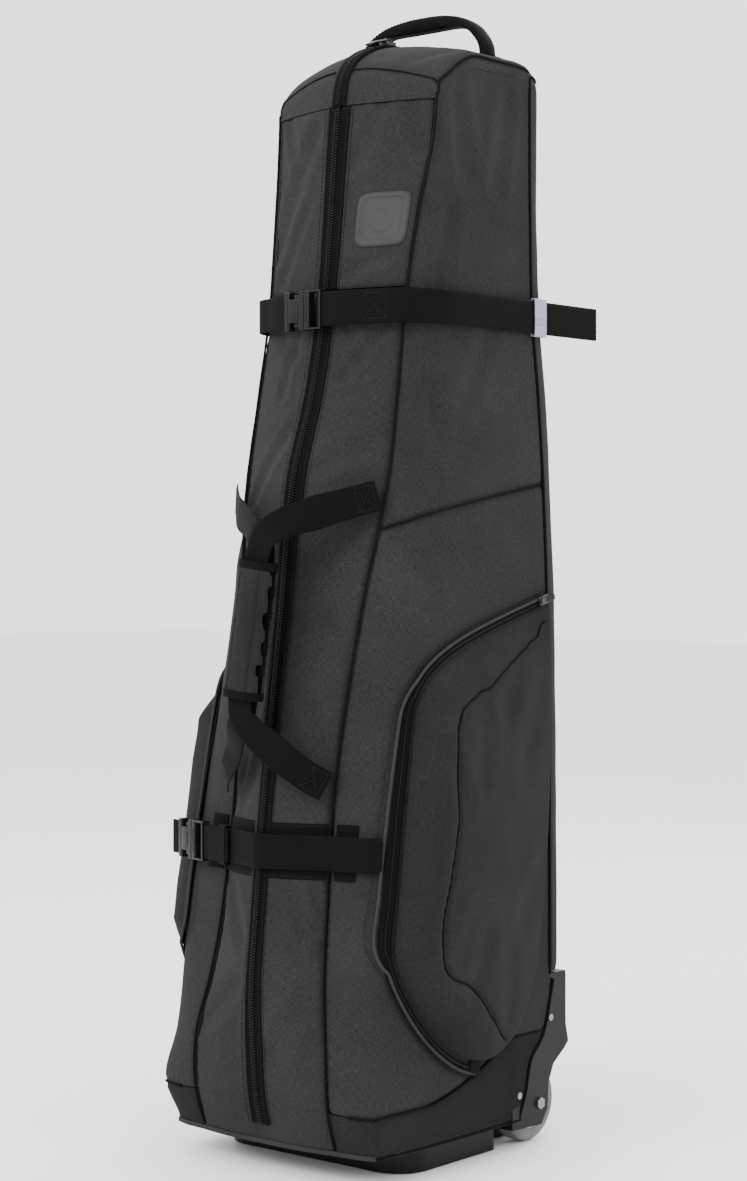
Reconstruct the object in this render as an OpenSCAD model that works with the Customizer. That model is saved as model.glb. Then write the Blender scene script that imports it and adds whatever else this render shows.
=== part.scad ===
// Wheeled soft travel case for a golf bag: padded fabric body, zipped front,
// two side pockets, two cinch straps, carry handles, moulded base and wheels.
// +X is the case's left-to-right direction seen from the front, -Y is the front, +Z is up.
// The origin is on the floor, under the middle of the case.

/* [Body] */
// Thickness of the padded fabric panels
panel_t = 4; // [3:0.5:6]
// Height of the highest point of the fabric top
top_h = 1255; // [1250:1:1260]
// Distance from the middle to the back panel
back_y = 197; // [195:1:200]
// Height of the underside of the fabric body
body_z = 34; // [32:1:36]

/* [Front flaps] */
// Height of the lower edge of the opening flaps
flap_z0 = 967; // [966:1:970]
// Height of the upper edge of the opening flaps
flap_z1 = 1176; // [1168:1:1178]

/* [Straps] */
// Width of the webbing
web_w = 38; // [36:1:38]
// Thickness of the webbing
web_t = 1.8; // [1.4:0.1:2]
// Height of the middle of the upper cinch strap
upper_strap_z = 944; // [942:1:946]
// Height of the middle of the lower cinch strap
lower_strap_z = 350; // [345:1:355]

/* [Wheels] */
// Diameter of the wheels
wheel_d = 90; // [88:1:92]
// Width of the tyres
wheel_w = 24; // [22:1:24]
// Diameter of the wheel axles
axle_d = 8; // [6:1:8]
// Distance from the middle of the case to the middle of each wheel
wheel_x = 131; // [130:1:132]
// Distance from the middle of the case back to the axles
wheel_y = 146; // [145:1:147]

/* [Side pockets] */
// Depth of the pockets over the side panels
pocket_depth = 44; // [38:1:46]

/* [Hidden] */
charcoal = [0.22, 0.22, 0.23];
black = [0.06, 0.06, 0.065];
grey = [0.45, 0.45, 0.47];

// ---- the body's cross-section, by height ----
// height, front ridge y, front seam x and y, shoulder x and y, side x, rear x
STATIONS = [
    [0, -130, 90, -122, 138, -112, 142, 142],
    [34, -148, 95, -141, 148, -128, 152, 150],
    [80, -161, 97, -156, 155, -146, 157, 154],
    [140, -167, 95, -157, 148, -132, 156, 155],
    [200, -169, 84, -147, 148, -124, 156, 155],
    [270, -163, 77, -135, 148, -115, 155, 155],
    [420, -147, 73, -116, 145, -86, 152, 154],
    [600, -122, 88, -92, 136, -48, 147, 151],
    [750, -102, 104, -64, 130, -24, 141, 145],
    [850, -70, 103, -46, 123, -8, 134, 138],
    [945, -50, 101, -30, 117, 4, 126, 129],
    [1050, -38, 107, -13, 120, 18, 125, 126],
    [1130, -31, 115, 2, 124, 30, 126, 125],
    [1190, -24, 117, 7, 124, 36, 125, 125],
    [1270, -14, 119, 12, 124, 40, 124, 124]];

function hermite(a, b, ma, mb, t) =
    a * (1 + 2 * t) * (1 - t) * (1 - t) + b * t * t * (3 - 2 * t)
    + ma * t * (1 - t) * (1 - t) - mb * t * t * (1 - t);
function slope(i, c) =
    let (lo = max(i - 1, 0), hi = min(i + 1, len(STATIONS) - 1))
    (STATIONS[hi][c] - STATIONS[lo][c]) / (STATIONS[hi][0] - STATIONS[lo][0]);
function row_at(z, i = 0) =
    (i >= len(STATIONS) - 2 || STATIONS[i + 1][0] > z) ? i : row_at(z, i + 1);
function station(z, c) =
    let (i = row_at(z), za = STATIONS[i][0], zb = STATIONS[i + 1][0], h = zb - za)
    hermite(STATIONS[i][c], STATIONS[i + 1][c], slope(i, c) * h, slope(i + 1, c) * h, (z - za) / h);

function mix(a, b, t) = a + (b - a) * t;
function bezier2(a, b, c, t) = (1 - t) * (1 - t) * a + 2 * t * (1 - t) * b + t * t * c;
function bezier3(a, b, c, d, t) =
    pow(1 - t, 3) * a + 3 * t * pow(1 - t, 2) * b + 3 * t * t * (1 - t) * c + t * t * t * d;

// u runs 0..1 from the front ridge to the front seam
rear_y = 170;
corner = 26;
function front_xy(z, u) =
    let (a = [0, station(z, 1)], c = [station(z, 2), station(z, 3)])
    bezier2(a, [c[0] * 0.55, mix(a[1], c[1], 0.4) - 5], c, u);
// u runs 0..1 from the front seam, round the shoulder, to the rear corner
function side_xy(z, u) =
    let (c = [station(z, 2), station(z, 3)], d = [station(z, 4), station(z, 5)],
        f = [station(z, 7), rear_y])
    u < 0.3
        ? bezier2(c, [mix(c[0], d[0], 0.75) + 3, mix(c[1], d[1], 0.4) - 4], d, u / 0.3)
        : bezier3(d, [station(z, 6) + 2, mix(d[1], rear_y, 0.25)], [station(z, 6) + 2, mix(d[1],
            rear_y, 0.6)], f,
            (u - 0.3) / 0.7);
// u runs 0..1 from the rear corner to the middle of the back
function back_xy(z, u) =
    let (x = station(z, 7))
    u < 0.5 ? bezier3([x, rear_y], [x - 1, back_y - 8], [x - 6, back_y - 1], [x - corner, back_y], u * 2)
            : [mix(x - corner, 0, u * 2 - 1), back_y];
function unit2(v) = v / norm(v);
// inset of a plan curve: moves the point at u to the inside by d
function inset_xy(which, z, u, d) =
    let (e = 0.01, ua = max(u - e, 0), ub = min(u + e, 1),
        a = plan(which, z, ua), b = plan(which, z, ub), t = unit2(b - a), p = plan(which, z, u))
    p + d * [-t[1], t[0]];
function plan(which, z, u) =
    which == 0 ? front_xy(z, u) : which == 1 ? side_xy(z, u) : back_xy(z, u);
function wall(which, z, u, d) = let (p = inset_xy(which, z, u, d)) [p[0], p[1], z];

// height of the domed top over a plan point
edge_r = 20;
function dome_z(x, y) =
    let (fx = x / 120, fy = max(0, 64 - y) / 90, by = max(0, y - 140) / 57)
    top_h - 16 * fx * fx - 45 * fy * fy - 16 * by * by - 38 * fx * fx * fy;
function rim_z(x, y) = dome_z(x, y) - edge_r;

// ---- closed solids from two grids of points ----
module slab(outer, inner) {
    n = len(outer);
    m = len(outer[0]);
    pts = [for (g = [outer, inner]) for (r = g) for (p = r) p];
    function o(i, j) = i * m + j;
    function q(i, j) = n * m + i * m + j;
    faces = concat(
        [for (i = [0 : n - 2]) for (j = [0 : m - 2]) each
            [[o(i, j), o(i + 1, j), o(i + 1, j + 1)], [o(i, j), o(i + 1, j + 1), o(i, j + 1)]]],
        [for (i = [0 : n - 2]) for (j = [0 : m - 2]) each
            [[q(i, j), q(i + 1, j + 1), q(i + 1, j)], [q(i, j), q(i, j + 1), q(i + 1, j + 1)]]],
        [for (i = [0 : n - 2]) each [[o(i, 0), q(i, 0), q(i + 1, 0)], [o(i, 0), q(i + 1, 0), o(i + 1, 0)]]],
        [for (i = [0 : n - 2]) each
            [[o(i, m - 1), q(i + 1, m - 1), q(i, m - 1)], [o(i, m - 1), o(i + 1, m - 1), q(i + 1, m - 1)]]],
        [for (j = [0 : m - 2]) each [[o(0, j), q(0, j + 1), q(0, j)], [o(0, j), o(0, j + 1), q(0, j + 1)]]],
        [for (j = [0 : m - 2]) each
            [[o(n - 1, j), q(n - 1, j), q(n - 1, j + 1)], [o(n - 1, j), q(n - 1, j + 1), o(n - 1,
                j + 1)]]]);
    polyhedron(points = pts, faces = faces, convexity = 8);
}
module flip_left(side) {
    if (side < 0) mirror([1, 0, 0]) children();
    else children();
}
// wall panel between two heights (functions of u given as end values) and two u values
module wall_panel(which, u0, u1, zlo0, zlo1, zhi0, zhi1, nz, nu, d0 = 0, t = panel_t) {
    us = [for (j = [0 : nu]) mix(u0, u1, j / nu)];
    grid = function (d) [for (i = [0 : nz]) [for (j = [0 : nu])
        wall(which, mix(mix(zlo0, zlo1, j / nu), mix(zhi0, zhi1, j / nu), i / nz), us[j], d)]];
    slab(grid(d0), grid(d0 + t));
}
// a flat band swept along a path with a facing direction at each point
module ribbon(path, facing, width, thick) {
    n = len(path);
    dir = [for (i = [0 : n - 1]) let (a = path[max(i - 1, 0)], b = path[min(i + 1,
        n - 1)]) (b - a) / norm(b - a)];
    nrm = [for (i = [0 : n - 1]) let (f = facing[i] - (facing[i] * dir[i]) * dir[i]) f / norm(f)];
    side = [for (i = [0 : n - 1]) cross(dir[i], nrm[i])];
    outer = [for (i = [0 : n - 1]) [path[i] + nrm[i] * thick - side[i] * width / 2,
        path[i] + nrm[i] * thick + side[i] * width / 2]];
    inner = [for (i = [0 : n - 1]) [path[i] - side[i] * width / 2, path[i] + side[i] * width / 2]];
    slab(outer, inner);
}
// a round cord swept along a path
module rope(path, r, sides = 6) {
    n = len(path);
    dir = [for (i = [0 : n - 1]) let (a = path[max(i - 1, 0)], b = path[min(i + 1,
        n - 1)]) (b - a) / norm(b - a)];
    function side_of(i) = let (c = cross(dir[i], [0.3, 0.9, 0.32])) c / norm(c);
    pts = [for (i = [0 : n - 1]) let (s = side_of(i), w = cross(dir[i], s))
        for (k = [0 : sides - 1]) path[i] + r * (cos(k * 360 / sides) * s + sin(k * 360 / sides) * w)];
    faces = concat(
        [for (i = [0 : n - 2]) for (k = [0 : sides - 1]) let (k2 = (k + 1) % sides) each
            [[i * sides + k, (i + 1) * sides + k2, i * sides + k2], [i * sides + k,
                (i + 1) * sides + k, (i + 1) * sides + k2]]],
        [[for (k = [0 : sides - 1]) k]],
        [[for (k = [sides - 1 : -1 : 0]) (n - 1) * sides + k]]);
    polyhedron(points = pts, faces = faces, convexity = 8);
}

// ---- padded panels ----
// height of the top of the bottom band along the side, by distance from the front
function band_z(y) = y < -60 ? 76 : y < 90 ? 76 + 52 * pow((y + 60) / 150, 1.6) : 128;
// lower edge of the side panel, which climbs over the wheel housing
function side_low_z(y) = y < 90 ? band_z(y) : y < 136 ? 130 : 130 + (y - 136) * 2.05;
function split_z(u) = mix(698, 752, u);
// the side panels end just short of the back panel
side_end = 0.972;
module side_panel_lower(side) flip_left(side) {
    us = [for (j = [0 : 20]) j / 20 * side_end];
    grid = function (d) [for (i = [0 : 14]) [for (u = us)
        let (y = side_xy(120, u)[1]) wall(1, mix(side_low_z(y) + 0.5, split_z(u) - 0.5, i / 14), u, d)]];
    slab(grid(0), grid(panel_t));
}
module side_panel_upper(side) flip_left(side) {
    us = [for (j = [0 : 14]) j / 14 * side_end];
    grid = function (d) [for (i = [0 : 14]) [for (u = us)
        let (p = side_xy(1215, u)) wall(1, mix(split_z(u), rim_z(p[0], p[1]) - 2.5, i / 14), u, d)]];
    slab(grid(0), grid(panel_t));
}
zip_u = 0.012;
module front_panel(side) flip_left(side)
    wall_panel(0, zip_u, 0.985, 76.5, 76.5, flap_z0 - 1.5, flap_z0 - 1.5, 26, 6);
module front_flap(side) flip_left(side)
    wall_panel(0, zip_u, 0.95, flap_z0, flap_z0, flap_z1, flap_z1, 8, 6);
module zip_strip(side, z0, z1, n) flip_left(side)
    wall_panel(0, zip_u, 0.1, z0, z0, z1, z1, n, 1, -2.2, 1.8);
module back_panel() color(charcoal) {
    span = [for (j = [-9 : 9]) j / 9];
    grid = function (d) [for (i = [0 : 14]) [for (a = span)
        let (q = back_xy(1200, 1 - abs(a)), p = wall(2, mix(192, rim_z(q[0], q[1]) - 2.5, i / 14),
            1 - abs(a), d))
        [a < 0 ? -p[0] : p[0], p[1], p[2]]]];
    slab(grid(0), grid(panel_t));
}
// the domed top: a patch between the front, side and back edges
function top_plan(a, b) =
    let (s = a < 0 ? -1 : 1, f = front_xy(1200, abs(a)), k = back_xy(1200, 1 - abs(a)),
        w = side_xy(1200, b),
        c0 = front_xy(1200, 1), c1 = back_xy(1200, 0))
    [s * (mix(f[0], k[0], b) + abs(a) * (w[0] - mix(c0[0], c1[0], b))),
        mix(f[1], k[1], b) + abs(a) * (w[1] - mix(c0[1], c1[1], b))];
function edge_steps() = [0, 0.025, 0.07, 0.14, 0.25, 0.4, 0.55, 0.7, 0.82, 0.9, 0.95, 0.98, 1];
function top_point(a, b, lower, t) =
    let (p = top_plan(a, b), dist = min((1 - abs(a)) * 118, b * 195, (1 - b) * 195),
        q = max(0, 1 - dist / edge_r), z = dome_z(p[0], p[1]) - edge_r * (1 - sqrt(1 - q * q)))
    [p[0] * (1 - lower * t / 118), p[1] - lower * t * (p[1] - 85) / 105, z - lower * t * (1 - q * q * q)];
function across_steps() = let (e = [0, 0.2, 0.4, 0.6, 0.76, 0.86, 0.93, 0.975, 1])
    concat([for (i = [len(e) - 1 : -1 : 1]) -e[i]], e);
module top_panel() color(charcoal) {
    grid = function (lower) [for (b = edge_steps()) [for (a = across_steps()) top_point(a, b, lower,
        panel_t)]];
    slab(grid(0), grid(1));
}
module top_padding() color(grey) {
    grid = function (drop) [for (b = [0.14 : 0.12 : 0.86]) [for (a = [-0.72 : 0.18 : 0.73])
        let (p = top_plan(a, b)) [p[0], p[1], dome_z(p[0], p[1]) - panel_t - 5 - drop]]];
    slab(grid(0), grid(12));
}
module base_band() color(charcoal) {
    grid = function (d) [for (i = [0 : 4]) concat(
        [for (j = [8 : -1 : 0]) let (u = j / 11.5, y = side_xy(60, u)[1],
            p = wall(1, mix(body_z + 2, band_z(y) - 0.5, i / 4), u, d)) [-p[0], p[1], p[2]]],
        [for (j = [4 : -1 : 0]) let (p = wall(0, mix(body_z + 2, 76, i / 4), j / 4.1, d)) [-p[0], p[1],
            p[2]]],
        [for (j = [1 : 4]) wall(0, mix(body_z + 2, 76, i / 4), j / 4.1, d)],
        [for (j = [0 : 8]) let (u = j / 11.5, y = side_xy(60, u)[1])
            wall(1, mix(body_z + 2, band_z(y) - 0.5, i / 4), u, d)])];
    slab(grid(0), grid(panel_t));
}
module base_board() color(black) difference() {
    translate([0, 0, body_z - 4.5]) linear_extrude(5) polygon(concat(
        [for (j = [0 : 8]) front_xy(40, j / 8.2)],
        [for (j = [0 : 8]) side_xy(40, j / 8)], [for (j = [1 : 4]) back_xy(40, j / 8)],
        [for (j = [4 : -1 : 1]) let (p = back_xy(40, j / 8)) [-p[0], p[1]]],
        [for (j = [8 : -1 : 0]) let (p = side_xy(40, j / 8)) [-p[0], p[1]]],
        [for (j = [8 : -1 : 1]) let (p = front_xy(40, j / 8.2)) [-p[0], p[1]]]));
    for (s = [-1, 1]) translate([s * 135 - 27, 93, 0]) cube([54, 120, 80]);
}
module back_board() color(black)
    translate([-78, back_y - panel_t - 3, 200]) cube([156, 2.4, 920]);

// ---- moulded base ----
tray_corner = 40;
// how far the wheel housings stand forward of their drawn outline
wheel_shift = 12;
module base_tray() color(black) {
    linear_extrude(body_z - 5) hull() {
        for (s = [-1, 1]) translate([s * 96, -36]) circle(tray_corner, $fn = 48);
        for (s = [-1, 1]) translate([s * 126, 82]) circle(10, $fn = 32);
    }
    translate([-104, 98 - wheel_shift, 0]) cube([208, 98 + wheel_shift, body_z - 5]);
    translate([-104, 192, body_z + 1]) cube([208, 4, 190 - body_z]);
}
module housing_outline() translate([-wheel_shift, 0]) polygon([[107, 22], [107, 127], [148, 127], [175,
    182], [179, 190],
    [209, 190], [210, 128], [215, 108], [208, 101], [186, 86], [176, 66], [174, 36], [162, 20]]);
axle_z = wheel_d / 2;
module wheel_housing(side) color(black) flip_left(side) difference() {
    translate([110, 0, 0]) rotate([90, 0, 90]) linear_extrude(45) housing_outline();
    translate([wheel_x - wheel_w / 2 - 3, wheel_y, axle_z]) rotate([0, 90, 0])
        cylinder(h = wheel_w + 6, r = wheel_d / 2 + 5, $fn = 96);
    translate([100, wheel_y, axle_z]) rotate([0, 90, 0]) cylinder(h = 70, d = axle_d, $fn = 48);
    translate([116, 134, 112]) cube([32, 54, 70]);
}
module tyre(side) color([0.3, 0.3, 0.31]) flip_left(side)
    translate([wheel_x, wheel_y, axle_z]) rotate([0, 90, 0]) rotate_extrude($fn = 96)
        polygon([[30, -11], [40, -wheel_w / 2], [43.5, -9], [45, -4], [45, 4], [43.5, 9], [40,
            wheel_w / 2], [30, 11]]);
module hub(side) color(grey) flip_left(side)
    translate([wheel_x, wheel_y, axle_z]) rotate([0, 90, 0]) difference() {
        union() {
            cylinder(h = 22, r = 30, center = true, $fn = 96);
            cylinder(h = 29, r = 9, center = true, $fn = 48);
        }
        cylinder(h = 40, r = axle_d / 2 + 0.05, center = true, $fn = 64);
        for (s = [-1, 1]) translate([0, 0, s * 8]) difference() {
            cylinder(h = 8, r = 26, center = true, $fn = 64);
            cylinder(h = 9, r = 11, center = true, $fn = 48);
        }
        for (k = [0 : 4]) rotate(k * 72) translate([18.5, 0, 0]) cylinder(h = 40, r = 5, center = true,
            $fn = 32);
    }
module wheel_axles() color("silver") for (s = [-1, 1])
    translate([s * 132.5, wheel_y, axle_z]) rotate([0, 90, 0]) cylinder(h = 45, d = axle_d,
        center = true, $fn = 48);
bolt_places = [[106, 60], [122, 106], [166, 140]];
module wheel_bolts() color("silver") for (s = [-1, 1]) {
    translate([s * 156.6, wheel_y, axle_z]) rotate([0, 90, 0]) cylinder(h = 3, r = 7, center = true,
        $fn = 6);
    for (p = bolt_places) translate([s * 156.2, p[0], p[1]]) rotate([0, 90, 0])
        cylinder(h = 2.2, r = 4, center = true, $fn = 32);
}
module kick_strips() color(grey) for (s = [-1, 1])
    translate([s * 133, 199.6, 158]) cube([40, 2, 56], center = true);

// ---- zips and piping ----
function seam_path(z0, z1, n, off) = [for (i = [0 : n]) let (z = mix(z0, z1, i / n),
    p = [station(z, 2), station(z, 3)], q = wall(1, z, 0.12, 0), d = unit2([0.55,
        -0.83])) [p[0] + off * d[0], p[1] + off * d[1], z]];
module front_piping(side) color(black) flip_left(side) rope(seam_path(80, 1176, 36, 2.9), 2, 6);
half_zip = 8;
module top_zip() color(black) {
    ys = [-4, 4, 14, 26, 40, 55, 70, 80];
    rise = function (y, t) dome_z(0, y) + t - (y < -2 ? 1 : 0);
    slab([for (y = ys) [[-half_zip, y, rise(y, 2)], [half_zip, y, rise(y, 2)]]],
        [for (y = ys) [[-half_zip, y, rise(y, 0.4)], [half_zip, y, rise(y, 0.4)]]]);
}
slider_r = 90;
slider_y = 62;
slider_cz = top_h + 4 - slider_r;
module main_zip_slider() color("silver") translate([0, slider_y, slider_cz + slider_r]) {
    translate([-5, -9, 0]) cube([10, 18, 4]);
    translate([-1.5, -5, 3.5]) cube([3, 10, 4.5]);
}
module main_zip_pull() color(black) translate([0, slider_y, slider_cz + slider_r + 6]) difference() {
    union() {
        translate([-5, -36, -1]) cube([10, 30, 2]);
        translate([-5, -7, -1]) cube([3, 8.2, 2]);
        translate([2, -7, -1]) cube([3, 8.2, 2]);
    }
    translate([0, -27, 0]) cylinder(h = 9, r = 2.5, center = true, $fn = 32);
}

// ---- side pockets ----
function side_u(z, y, lo = 0.0, hi = 1.0, k = 18) =
    k == 0 ? (lo + hi) / 2 : let (m = (lo + hi) / 2)
    side_xy(z, m)[1] < y ? side_u(z, y, m, hi, k - 1) : side_u(z, y, lo, m, k - 1);
// a point standing off the side panel, given its place on the side view
function on_side(p, off) = let (u = side_u(p[1], min(p[0], 164)), w = wall(1, p[1], u, -off))
    p[0] > 164 ? [w[0], p[0], p[1]] : w;
function pocket_top(t) = bezier3([-69, 486], [-57, 556], [24, 574], [166, 612], t);
function pocket_front(t) = bezier2([-112, 252], [-91, 386], [-69, 486], t);
function pocket_bottom(t) = bezier3([-112, 252], [-114, 206], [-4, 66], [78, 126], t);
function pocket_rear(t) = bezier3([78, 126], [132, 150], [160, 270], [166, 612], t);
function pocket_plan(a, b) =
    mix(pocket_bottom(a), pocket_top(a), b) + mix(pocket_front(b), pocket_rear(b), a)
    - mix(mix(pocket_bottom(0), pocket_bottom(1), a), mix(pocket_top(0), pocket_top(1), a), b);
function pocket_rise(a, b) =
    let (q = min(a * 3.6, b * 5.2, (1 - b) * 5.2, 1), r = 1 - pow(1 - q, 2.2), tail = 1 - 0.94 * pow(a,
        2.4))
    5 + (pocket_depth - 5) * r * tail;
module pocket_cover(side) color(charcoal) flip_left(side) {
    steps = [0, 0.04, 0.1, 0.18, 0.3, 0.44, 0.58, 0.72, 0.86, 1];
    rows = [0, 0.03, 0.08, 0.15, 0.24, 0.36, 0.5, 0.64, 0.76, 0.85, 0.92, 0.97, 1];
    grid = function (d) [for (b = rows) [for (a = steps) on_side(pocket_plan(a, b), pocket_rise(a,
        b) - d)]];
    slab(grid(0), grid(3));
}
function pocket_line(off) =
    let (raw = concat([for (t = [1 : -0.1 : 0.05]) pocket_top(t)],
        [for (t = [1 : -0.2 : 0.05]) pocket_front(t)],
            [for (t = [0 : 0.14 : 0.99]) pocket_bottom(t)]), n = len(raw))
    [for (i = [0 : n - 1]) let (d = unit2(raw[min(i + 1, n - 1)] - raw[max(i - 1,
        0)])) raw[i] + off * [d[1], -d[0]]];
module pocket_zip(side) color(black) flip_left(side) {
    outer = pocket_line(12);
    inner = pocket_line(2);
    n = len(outer);
    slab([for (i = [0 : n - 1]) [for (k = [0 : 3]) on_side(mix(inner[i], outer[i], k / 3), 4.8)]],
        [for (i = [0 : n - 1]) [for (k = [0 : 3]) on_side(mix(inner[i], outer[i], k / 3), 3)]]);
}
module pocket_piping(side) color(grey) flip_left(side)
    rope([for (p = pocket_line(14)) on_side(p, 5)], 1.6, 6);
pocket_slide_from = [150, 612];
slider_rise = 7.9;
module pocket_slider(side) color("silver") flip_left(side)
    translate([on_side(pocket_slide_from, 0)[0] + slider_rise, pocket_slide_from[0],
        pocket_slide_from[1] + 7])
        rotate([15, 0, 0]) {
            translate([-1, -8, -5]) cube([4, 16, 10]);
            translate([3.3, -9, -3]) cube([2, 34, 6]);
            translate([2.8, -4, -1.5]) cube([1, 8, 3]);
        }

// ---- straps ----
function lift(path, z) = [for (p = path) [p[0], p[1], z]];
function loop_facing(path) = let (n = len(path)) [for (i = [0 : n - 1])
    let (d = unit2(path[min(i + 1, n - 1)] - path[max(i - 1, 0)])) [d[1], -d[0], 0]];
UPPER_PATH = [[124, -8], [118, -22], [107.5, -42], [60, -55], [34, -60.5], [20, -61.9], [4, -61.9],
    [0, -63.5], [4, -65.1], [20, -65.1], [34, -64.6], [60, -59], [110, -46.5], [121.5, -26], [130, -2],
    [133.5, 30], [134.5, 80], [134.5, 140], [134, 172], [134, 200], [135, 286]];
module upper_strap_webbing() color(black)
    ribbon(lift(UPPER_PATH, upper_strap_z), loop_facing(UPPER_PATH), web_w, web_t);
UPPER_ANCHOR = [[-129.5, 60], [-129, 30], [-121.5, -2], [-108.5, -37], [-84, -49], [-60, -58], [-44,
    -62.6]];
module upper_strap_anchor() color(black)
    ribbon(lift(UPPER_ANCHOR, upper_strap_z), loop_facing(UPPER_ANCHOR), web_w, web_t);
module upper_strap_loop() color([0.55, 0.53, 0.62]) translate([134.9, 172, upper_strap_z]) difference() {
    cube([7, 22, web_w + 6], center = true);
    cube([4.4, 24, web_w + 3], center = true);
}
buckle_h = 44;
module buckle_socket() difference() {
    translate([-43, -5.6, -buckle_h / 2]) cube([29, 11, buckle_h]);
    translate([-35, -3.2, -18.5]) cube([30, 6.4, 37]);
    translate([-36, -9, 14]) cube([15, 20, 12]);
    translate([-36, -9, -26]) cube([15, 20, 12]);
}
module buckle_plug() {
    difference() {
        translate([-13.6, -5.6, -buckle_h / 2]) cube([24, 11, buckle_h]);
        translate([-6, -9, -19.6]) cube([22, 20, 39.2]);
    }
    translate([4.4, -1.1, -20]) cube([2.2, 2.2, 40]);
    translate([7.6, -5.4, -20]) cube([2.8, 1.8, 40]);
    translate([-31, -2.6, -2.5]) cube([18, 5.2, 5]);
    for (s = [-1, 1]) translate([-31, -2.6, s * 14 - 3]) cube([18, 5.2, 6]);
}
module upper_place() translate([0, -63.5, upper_strap_z]) children();
module upper_buckle_socket() color(black) upper_place() buckle_socket();
module upper_buckle_plug() color(black) upper_place() buckle_plug();
lower_tilt = -15.9;
lower_origin = [-108.4, -134.8];
module lower_place() translate([lower_origin[0], lower_origin[1],
    lower_strap_z]) rotate(lower_tilt) children();
function lower_local(x, y) = lower_origin
    + [x * cos(lower_tilt) - y * sin(lower_tilt), x * sin(lower_tilt) + y * cos(lower_tilt)];
LOWER_PATH = concat([[135.5, -121.2], [122, -127.5], [78, -138], [40, -154], [12, -165], [0, -166.4],
    [-14, -161.6]],
    [for (p = [[60, 1.6], [44, 1.6], [20, 1.6], [4, 1.6], [0, 0], [4, -1.6], [20, -1.6], [62, -1.8]])
        lower_local(p[0], p[1])]);
module lower_strap_webbing() color(black)
    ribbon(lift(LOWER_PATH, lower_strap_z), loop_facing(LOWER_PATH), web_w, web_t);
module lower_buckle_socket() color(black) lower_place() buckle_socket();
module lower_buckle_plug() color(black) lower_place() buckle_plug();
module lower_strap_anchor() color(black)
    lower_place() translate([-52, -0.9, -web_w / 2]) cube([8.8, web_t, web_w]);
module lower_strap_loop() color(black) lower_place() translate([50, 0, 0]) difference() {
    cube([16, 9.8, web_w + 6], center = true);
    cube([18, 7.4, web_w + 1.5], center = true);
}
module lower_strap_patches() color(black) for (s = [-1, 1]) flip_left(s) {
    wall_panel(1, 0.05, 0.1, lower_strap_z - 30, lower_strap_z - 30, lower_strap_z + 30, lower_strap_z + 30,
        3, 4, -1.5, 1.1);
    wall_panel(0, 0.13, 0.93, lower_strap_z - 30, lower_strap_z - 30, lower_strap_z + 30,
        lower_strap_z + 30,
        3, 4, -1.5, 1.1);
}

// ---- handles ----
function handle_path(s) = let (k = s > 0 ? -3 : 5.5) [
    [s * 104, -80, 735], [s * 84, -101, 727], [s * 60, -128 + k, 716], [s > 0 ? 30 : -12, -160 + k, 700],
    [16, -172 + k, 674], [6, -176 + k, 590], [-4, -180 + k, 506],
    [s > 0 ? 10 : -22, -174 + k, 480], [s * 40, -160 + k, 452], [s * 60, -145, 432], [s * 74, -131, 421]];
HANDLE_FACE = [[0.6, -0.8, 0], [0.6, -0.8, 0], [0.5, -0.85, 0], [0.2, -0.95, 0], [0, -1, 0], [0, -1,
    0], [0, -1, 0],
    [0.1, -0.98, 0], [0.3, -0.95, 0], [0.4, -0.9, 0], [0.4, -0.9, 0]];
module carry_handle(s) color(black)
    ribbon(handle_path(s), [for (f = HANDLE_FACE) [s * f[0], f[1], f[2]]], 34, web_t);
// the padded grip is a sleeve in two halves round both webbings; half is -1 behind, 1 in front
wrap_w = 48;
wrap_depth = 28;
wrap_long = 150;
module rounded_bar(w, d, r) hull() for (sx = [-1, 1]) for (sy = [-1, 1])
    translate([sx * (w / 2 - r), sy * (d / 2 - r)]) circle(r, $fn = 32);
module wrap_place() translate([-3, -180, 515]) rotate([-2.8, 7, 0]) children();
module wrap_half(half) wrap_place() linear_extrude(wrap_long) intersection() {
    difference() {
        rounded_bar(wrap_w, wrap_depth, 12);
        rounded_bar(42, 15, 4);
    }
    translate([-40, half > 0 ? -40.3 : 0.3]) square([80, 40]);
}
module carry_handle_wrap() color(grey) wrap_half(-1);
module carry_wrap_flap() color(grey) wrap_half(1);
handle_y = 130;
HANDLE_ARCH = [[-90, 0], [-84, 12], [-72, 25], [-52, 35], [-26, 40], [0, 41], [26, 40], [52, 35], [72,
    25], [84, 12], [90, 0]];
module top_handle() color(black) ribbon(
    [for (p = HANDLE_ARCH) [p[0], handle_y, dome_z(90, handle_y) + 8.6 + p[1]]],
    [for (p = HANDLE_ARCH) [p[0] / 90, 0, 1]], 26, 6);
module badge_patch() color([0.3, 0.3, 0.3])
    wall_panel(0, 0.3, 0.9, 1012, 1012, 1074, 1074, 3, 4, -3.4, 3);
module inner_straps() color(black) for (z = [420, 860])
    translate([-92, back_y - panel_t - 8, z - 19]) cube([184, 2, 38]);

base_tray();
base_board();
base_band();
back_panel();
back_board();
color(charcoal) side_panel_lower(-1);  // side_panel_left_lower
color(charcoal) side_panel_lower(1);  // side_panel_right_lower
color(charcoal) side_panel_upper(-1);  // side_panel_left_upper
color(charcoal) side_panel_upper(1);  // side_panel_right_upper
color(charcoal) front_panel(-1);  // front_panel_left
color(charcoal) front_panel(1);  // front_panel_right
color(charcoal) front_flap(-1);  // front_flap_left
color(charcoal) front_flap(1);  // front_flap_right
top_panel();
top_padding();
front_piping(-1);  // front_piping_left
front_piping(1);  // front_piping_right
color(black) zip_strip(-1, 52, flap_z0 - 1.5, 56);  // main_zip_left
color(black) zip_strip(1, 52, flap_z0 - 1.5, 56);  // main_zip_right
color(black) zip_strip(-1, flap_z0, flap_z1, 6);  // flap_zip_left
color(black) zip_strip(1, flap_z0, flap_z1, 6);  // flap_zip_right
top_zip();
main_zip_slider();
main_zip_pull();
pocket_cover(-1);  // pocket_cover_left
pocket_cover(1);  // pocket_cover_right
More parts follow.
